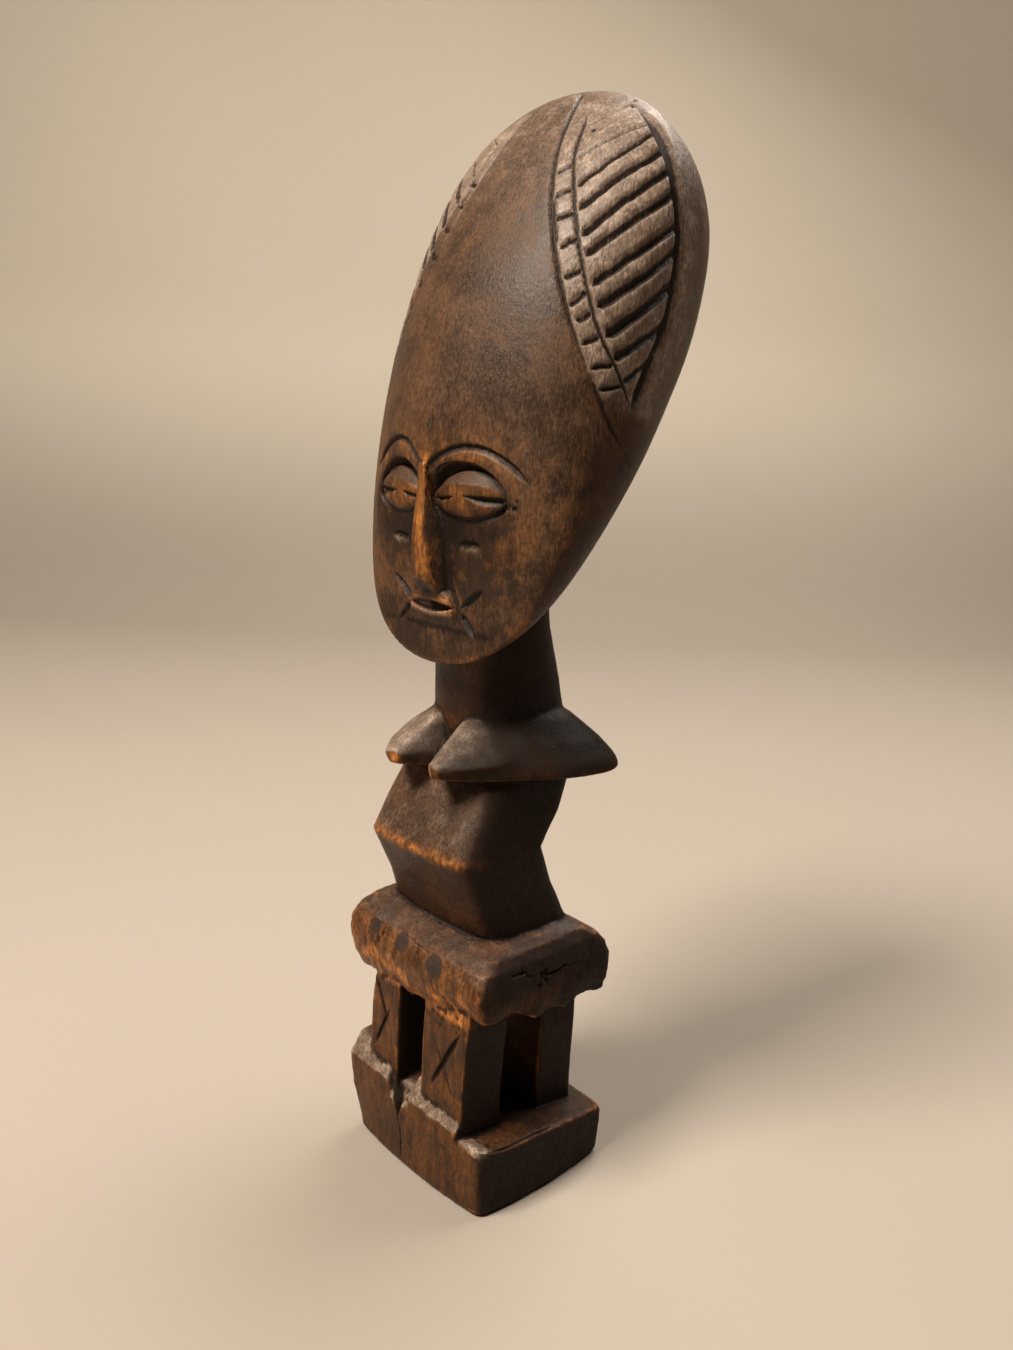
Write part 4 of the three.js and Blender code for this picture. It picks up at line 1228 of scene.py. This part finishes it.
def dark_wood():
    """Dark stained, waxed wood, worn to orange brown on its edges, with fine fibres along Z, painted shade in
    its hollows and on sides turned from the light, and a painted sheen and highlights on faces that look up.
    """
    n = Nodes("dark_wood")
    fibre, grain, streak, blotch, patch, speck, cloud = (n.noise(*values) for values in NOISES.values())
    edge, warm, pale_wear_and_sheen, dirt_and_shade, body, painted_shade, mottled = (
        n.add("ShaderNodeAttribute", attribute_name=name).outputs["Fac"]
        for name in ("edge", "warm", "pale_wear_and_sheen", "dirt_and_shade", "body", "painted_shade", "mottled")
    )

    stained = n.ramp(blotch, 0.38, 0.62)
    head = n.mix(n.ramp(patch, 0.50, 0.64, 0.0, 0.5), n.mix(stained, *HEAD_STAIN), HEAD_PATCH)
    trunk = n.mix(n.ramp(patch, 0.50, 0.66, 0.0, 0.5), n.mix(stained, *TRUNK_STAIN), TRUNK_PATCH)
    stain = n.sum((blotch, 0.35), (patch, 0.25), (cloud, 0.33), (streak, 0.07))
    dark = n.times(n.ramp(stain, 0.52, 0.44, 0.0, 0.85), mottled)
    ochre = n.times(n.ramp(stain, 0.48, 0.58, 0.0, 0.55), mottled)
    ochre = n.times(ochre, n.ramp(cloud, 0.35, 0.6, 0.35, 1.0))
    colour = n.mix(ochre, n.mix(dark, n.mix(body, head, trunk), DARK_STAIN), OCHRE_STAIN)

    worn_edge = n.times(n.ramp(edge, 0.35, 1.0, 0.0, 0.6), n.ramp(blotch, 0.38, 0.60, 0.1, 1.0))
    worn_warm = n.times(warm, n.ramp(n.sum((streak, 0.5), (blotch, 0.5)), 0.42, 0.56, 0.5, 1.0))
    bare = n.mix(n.ramp(streak, 0.36, 0.64), *BARE_WOOD)
    # Painted highlight: glints on the pale, sheened places, strongest on edges.
    glint = n.math("MAXIMUM", n.ramp(cloud, 0.50, 0.64, 0.0, 0.6), n.ramp(edge, 0.35, 0.9, 0.0, 0.8))
    light_fibre = n.times(n.ramp(fibre, 0.56, 0.70, 0.0, 0.3), n.ramp(painted_shade, 0.6, 0.0))
    light_fibre = n.times(light_fibre, n.ramp(mottled, 0.9, 0.3, 0.25, 1.0))
    light_fibre = n.times(light_fibre, n.ramp(body, 1.0, 0.0, 0.4, 1.0))
    # Over the stain: bare wood, pale wear with a painted sheen, painted highlight, painted shade, pores,
    # fibres, and dirt with painted shade.
    for share, tint in (
        (n.math("MAXIMUM", worn_edge, worn_warm), bare),
        (n.times(pale_wear_and_sheen, n.ramp(cloud, 0.35, 0.6, 0.65, 1.0)), SCRAPED_WOOD_AND_SHEEN),
        (n.times(pale_wear_and_sheen, glint), PAINTED_HIGHLIGHT),
        (n.times(painted_shade, 0.9), SHADED_WOOD),
        (n.ramp(grain, 0.60, 0.40, 0.0, 0.45), PORE),
        (light_fibre, PALE_FIBRE),
        (n.ramp(dirt_and_shade, 0.25, 0.85, 0.0, 0.88), DIRT_AND_SHADE),
    ):
        colour = n.mix(share, colour, tint)
    for centre, radius in KNOT_SPOTS:
        spot = n.disc(tuple(value * MM for value in centre), radius * MM, blotch)
        colour = n.mix(n.times(spot, 0.85), colour, KNOT)

    satin = n.ramp(n.sum((grain, 0.5), (blotch, 0.5)), 0.38, 0.62, 0.36, 0.58)
    height = n.sum((fibre, 0.5), (grain, 0.6), (speck, 0.5))
    bump = n.fill(n.add("ShaderNodeBump"), {"Height": height, "Strength": 0.6, "Distance": 0.0004})
    return n.finished({
        "Base Color": colour,
        "Roughness": n.sum((satin, 1.0), (dirt_and_shade, 0.15), (painted_shade, 0.35), (pale_wear_and_sheen, -0.08)),
        "Normal": bump.outputs["Normal"],
        "IOR": 1.4,
        "Specular IOR Level": 0.28,
        "Coat Weight": 0.05,
        "Coat Roughness": 0.3,
    })


def plain_material(name, low, high, rough):
    """Even colour that pales with height."""
    n = Nodes(name)
    tint = n.ramp(n.noise(1.0, 3.0, 2.0, 0.55), 0.3, 0.7, 0.97, 1.0)
    height = n.fill(n.add("ShaderNodeSeparateXYZ"), {0: n.place}).outputs["Z"]
    colour = n.mix(n.ramp(height, 0.02, 0.3), low, high)
    return n.finished({"Base Color": n.mix(1.0, colour, tint, "MULTIPLY"), "Roughness": rough})


def make_floor():
    """Pale floor that curves up into a backdrop behind the doll."""
    half, far, bend = FLOOR["half"], FLOOR["far"], FLOOR["bend"]
    angles = np.linspace(0, math.pi / 2, 17)
    profile = [(far - bend + bend * math.sin(angle), bend - bend * math.cos(angle)) for angle in angles]
    profile = [(FLOOR["near"], 0.0), *profile, (far, FLOOR["rise"])]
    away = Vector((-CAMERA_PLACE[0], -CAMERA_PLACE[1], 0)).normalized()
    sideways = Vector((away.y, -away.x, 0))
    edges = (-half, half)
    corners = [
        away * along + sideways * side + Vector((0, 0, height)) for along, height in profile for side in edges
    ]
    mesh = bpy.data.meshes.new("studio_floor")
    mesh.from_pydata(corners, [], [(at, at + 1, at + 3, at + 2) for at in range(0, len(corners) - 2, 2)])
    mesh.shade_smooth()
    mesh.materials.append(plain_material("pale_floor", *FLOOR_COLOURS, FLOOR_ROUGHNESS))
    floor = placed("studio_floor", mesh)


def make_lights():
    """Three square lamps on the doll, and a faint light from the room."""
    right, up = Vector(CAMERA_RIGHT), Vector(CAMERA_UP)
    for name, (shares, distance, size, power, colour) in LIGHTS.items():
        way = sum((part * share for part, share in zip((right, right.cross(up), up), shares)), Vector())
        data = bpy.data.lights.new(name, "AREA")
        data.size = size
        data.energy = power
        data.color = colour
        light = placed(name, data)
        light.location = Vector(LIGHT_TARGET) + way * distance
        light.rotation_mode = "QUATERNION"
        light.rotation_quaternion = (-way).to_track_quat("-Z", "Y")
    world = bpy.data.worlds.new("studio")
    world.use_nodes = True
    background = world.node_tree.nodes["Background"].inputs
    background["Color"].default_value = ROOM_LIGHT
    background["Strength"].default_value = ROOM_STRENGTH
    bpy.context.scene.world = world
    bpy.context.scene.view_settings.view_transform = "Standard"


def make_camera():
    data = bpy.data.cameras.new("camera")
    data.lens = CAMERA_LENS
    data.sensor_width = CAMERA_SENSOR
    camera = placed("camera", data)
    right, up = Vector(CAMERA_RIGHT).normalized(), Vector(CAMERA_UP).normalized()
    turn = Matrix((right, up, right.cross(up))).transposed().to_4x4()
    camera.matrix_world = Matrix.Translation(CAMERA_PLACE) @ turn
    bpy.context.scene.camera = camera


make_camera()
doll = make_doll()
doll.data.materials.append(dark_wood())
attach(doll, "root")
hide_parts("akuaba_doll")
make_floor()
make_lights()
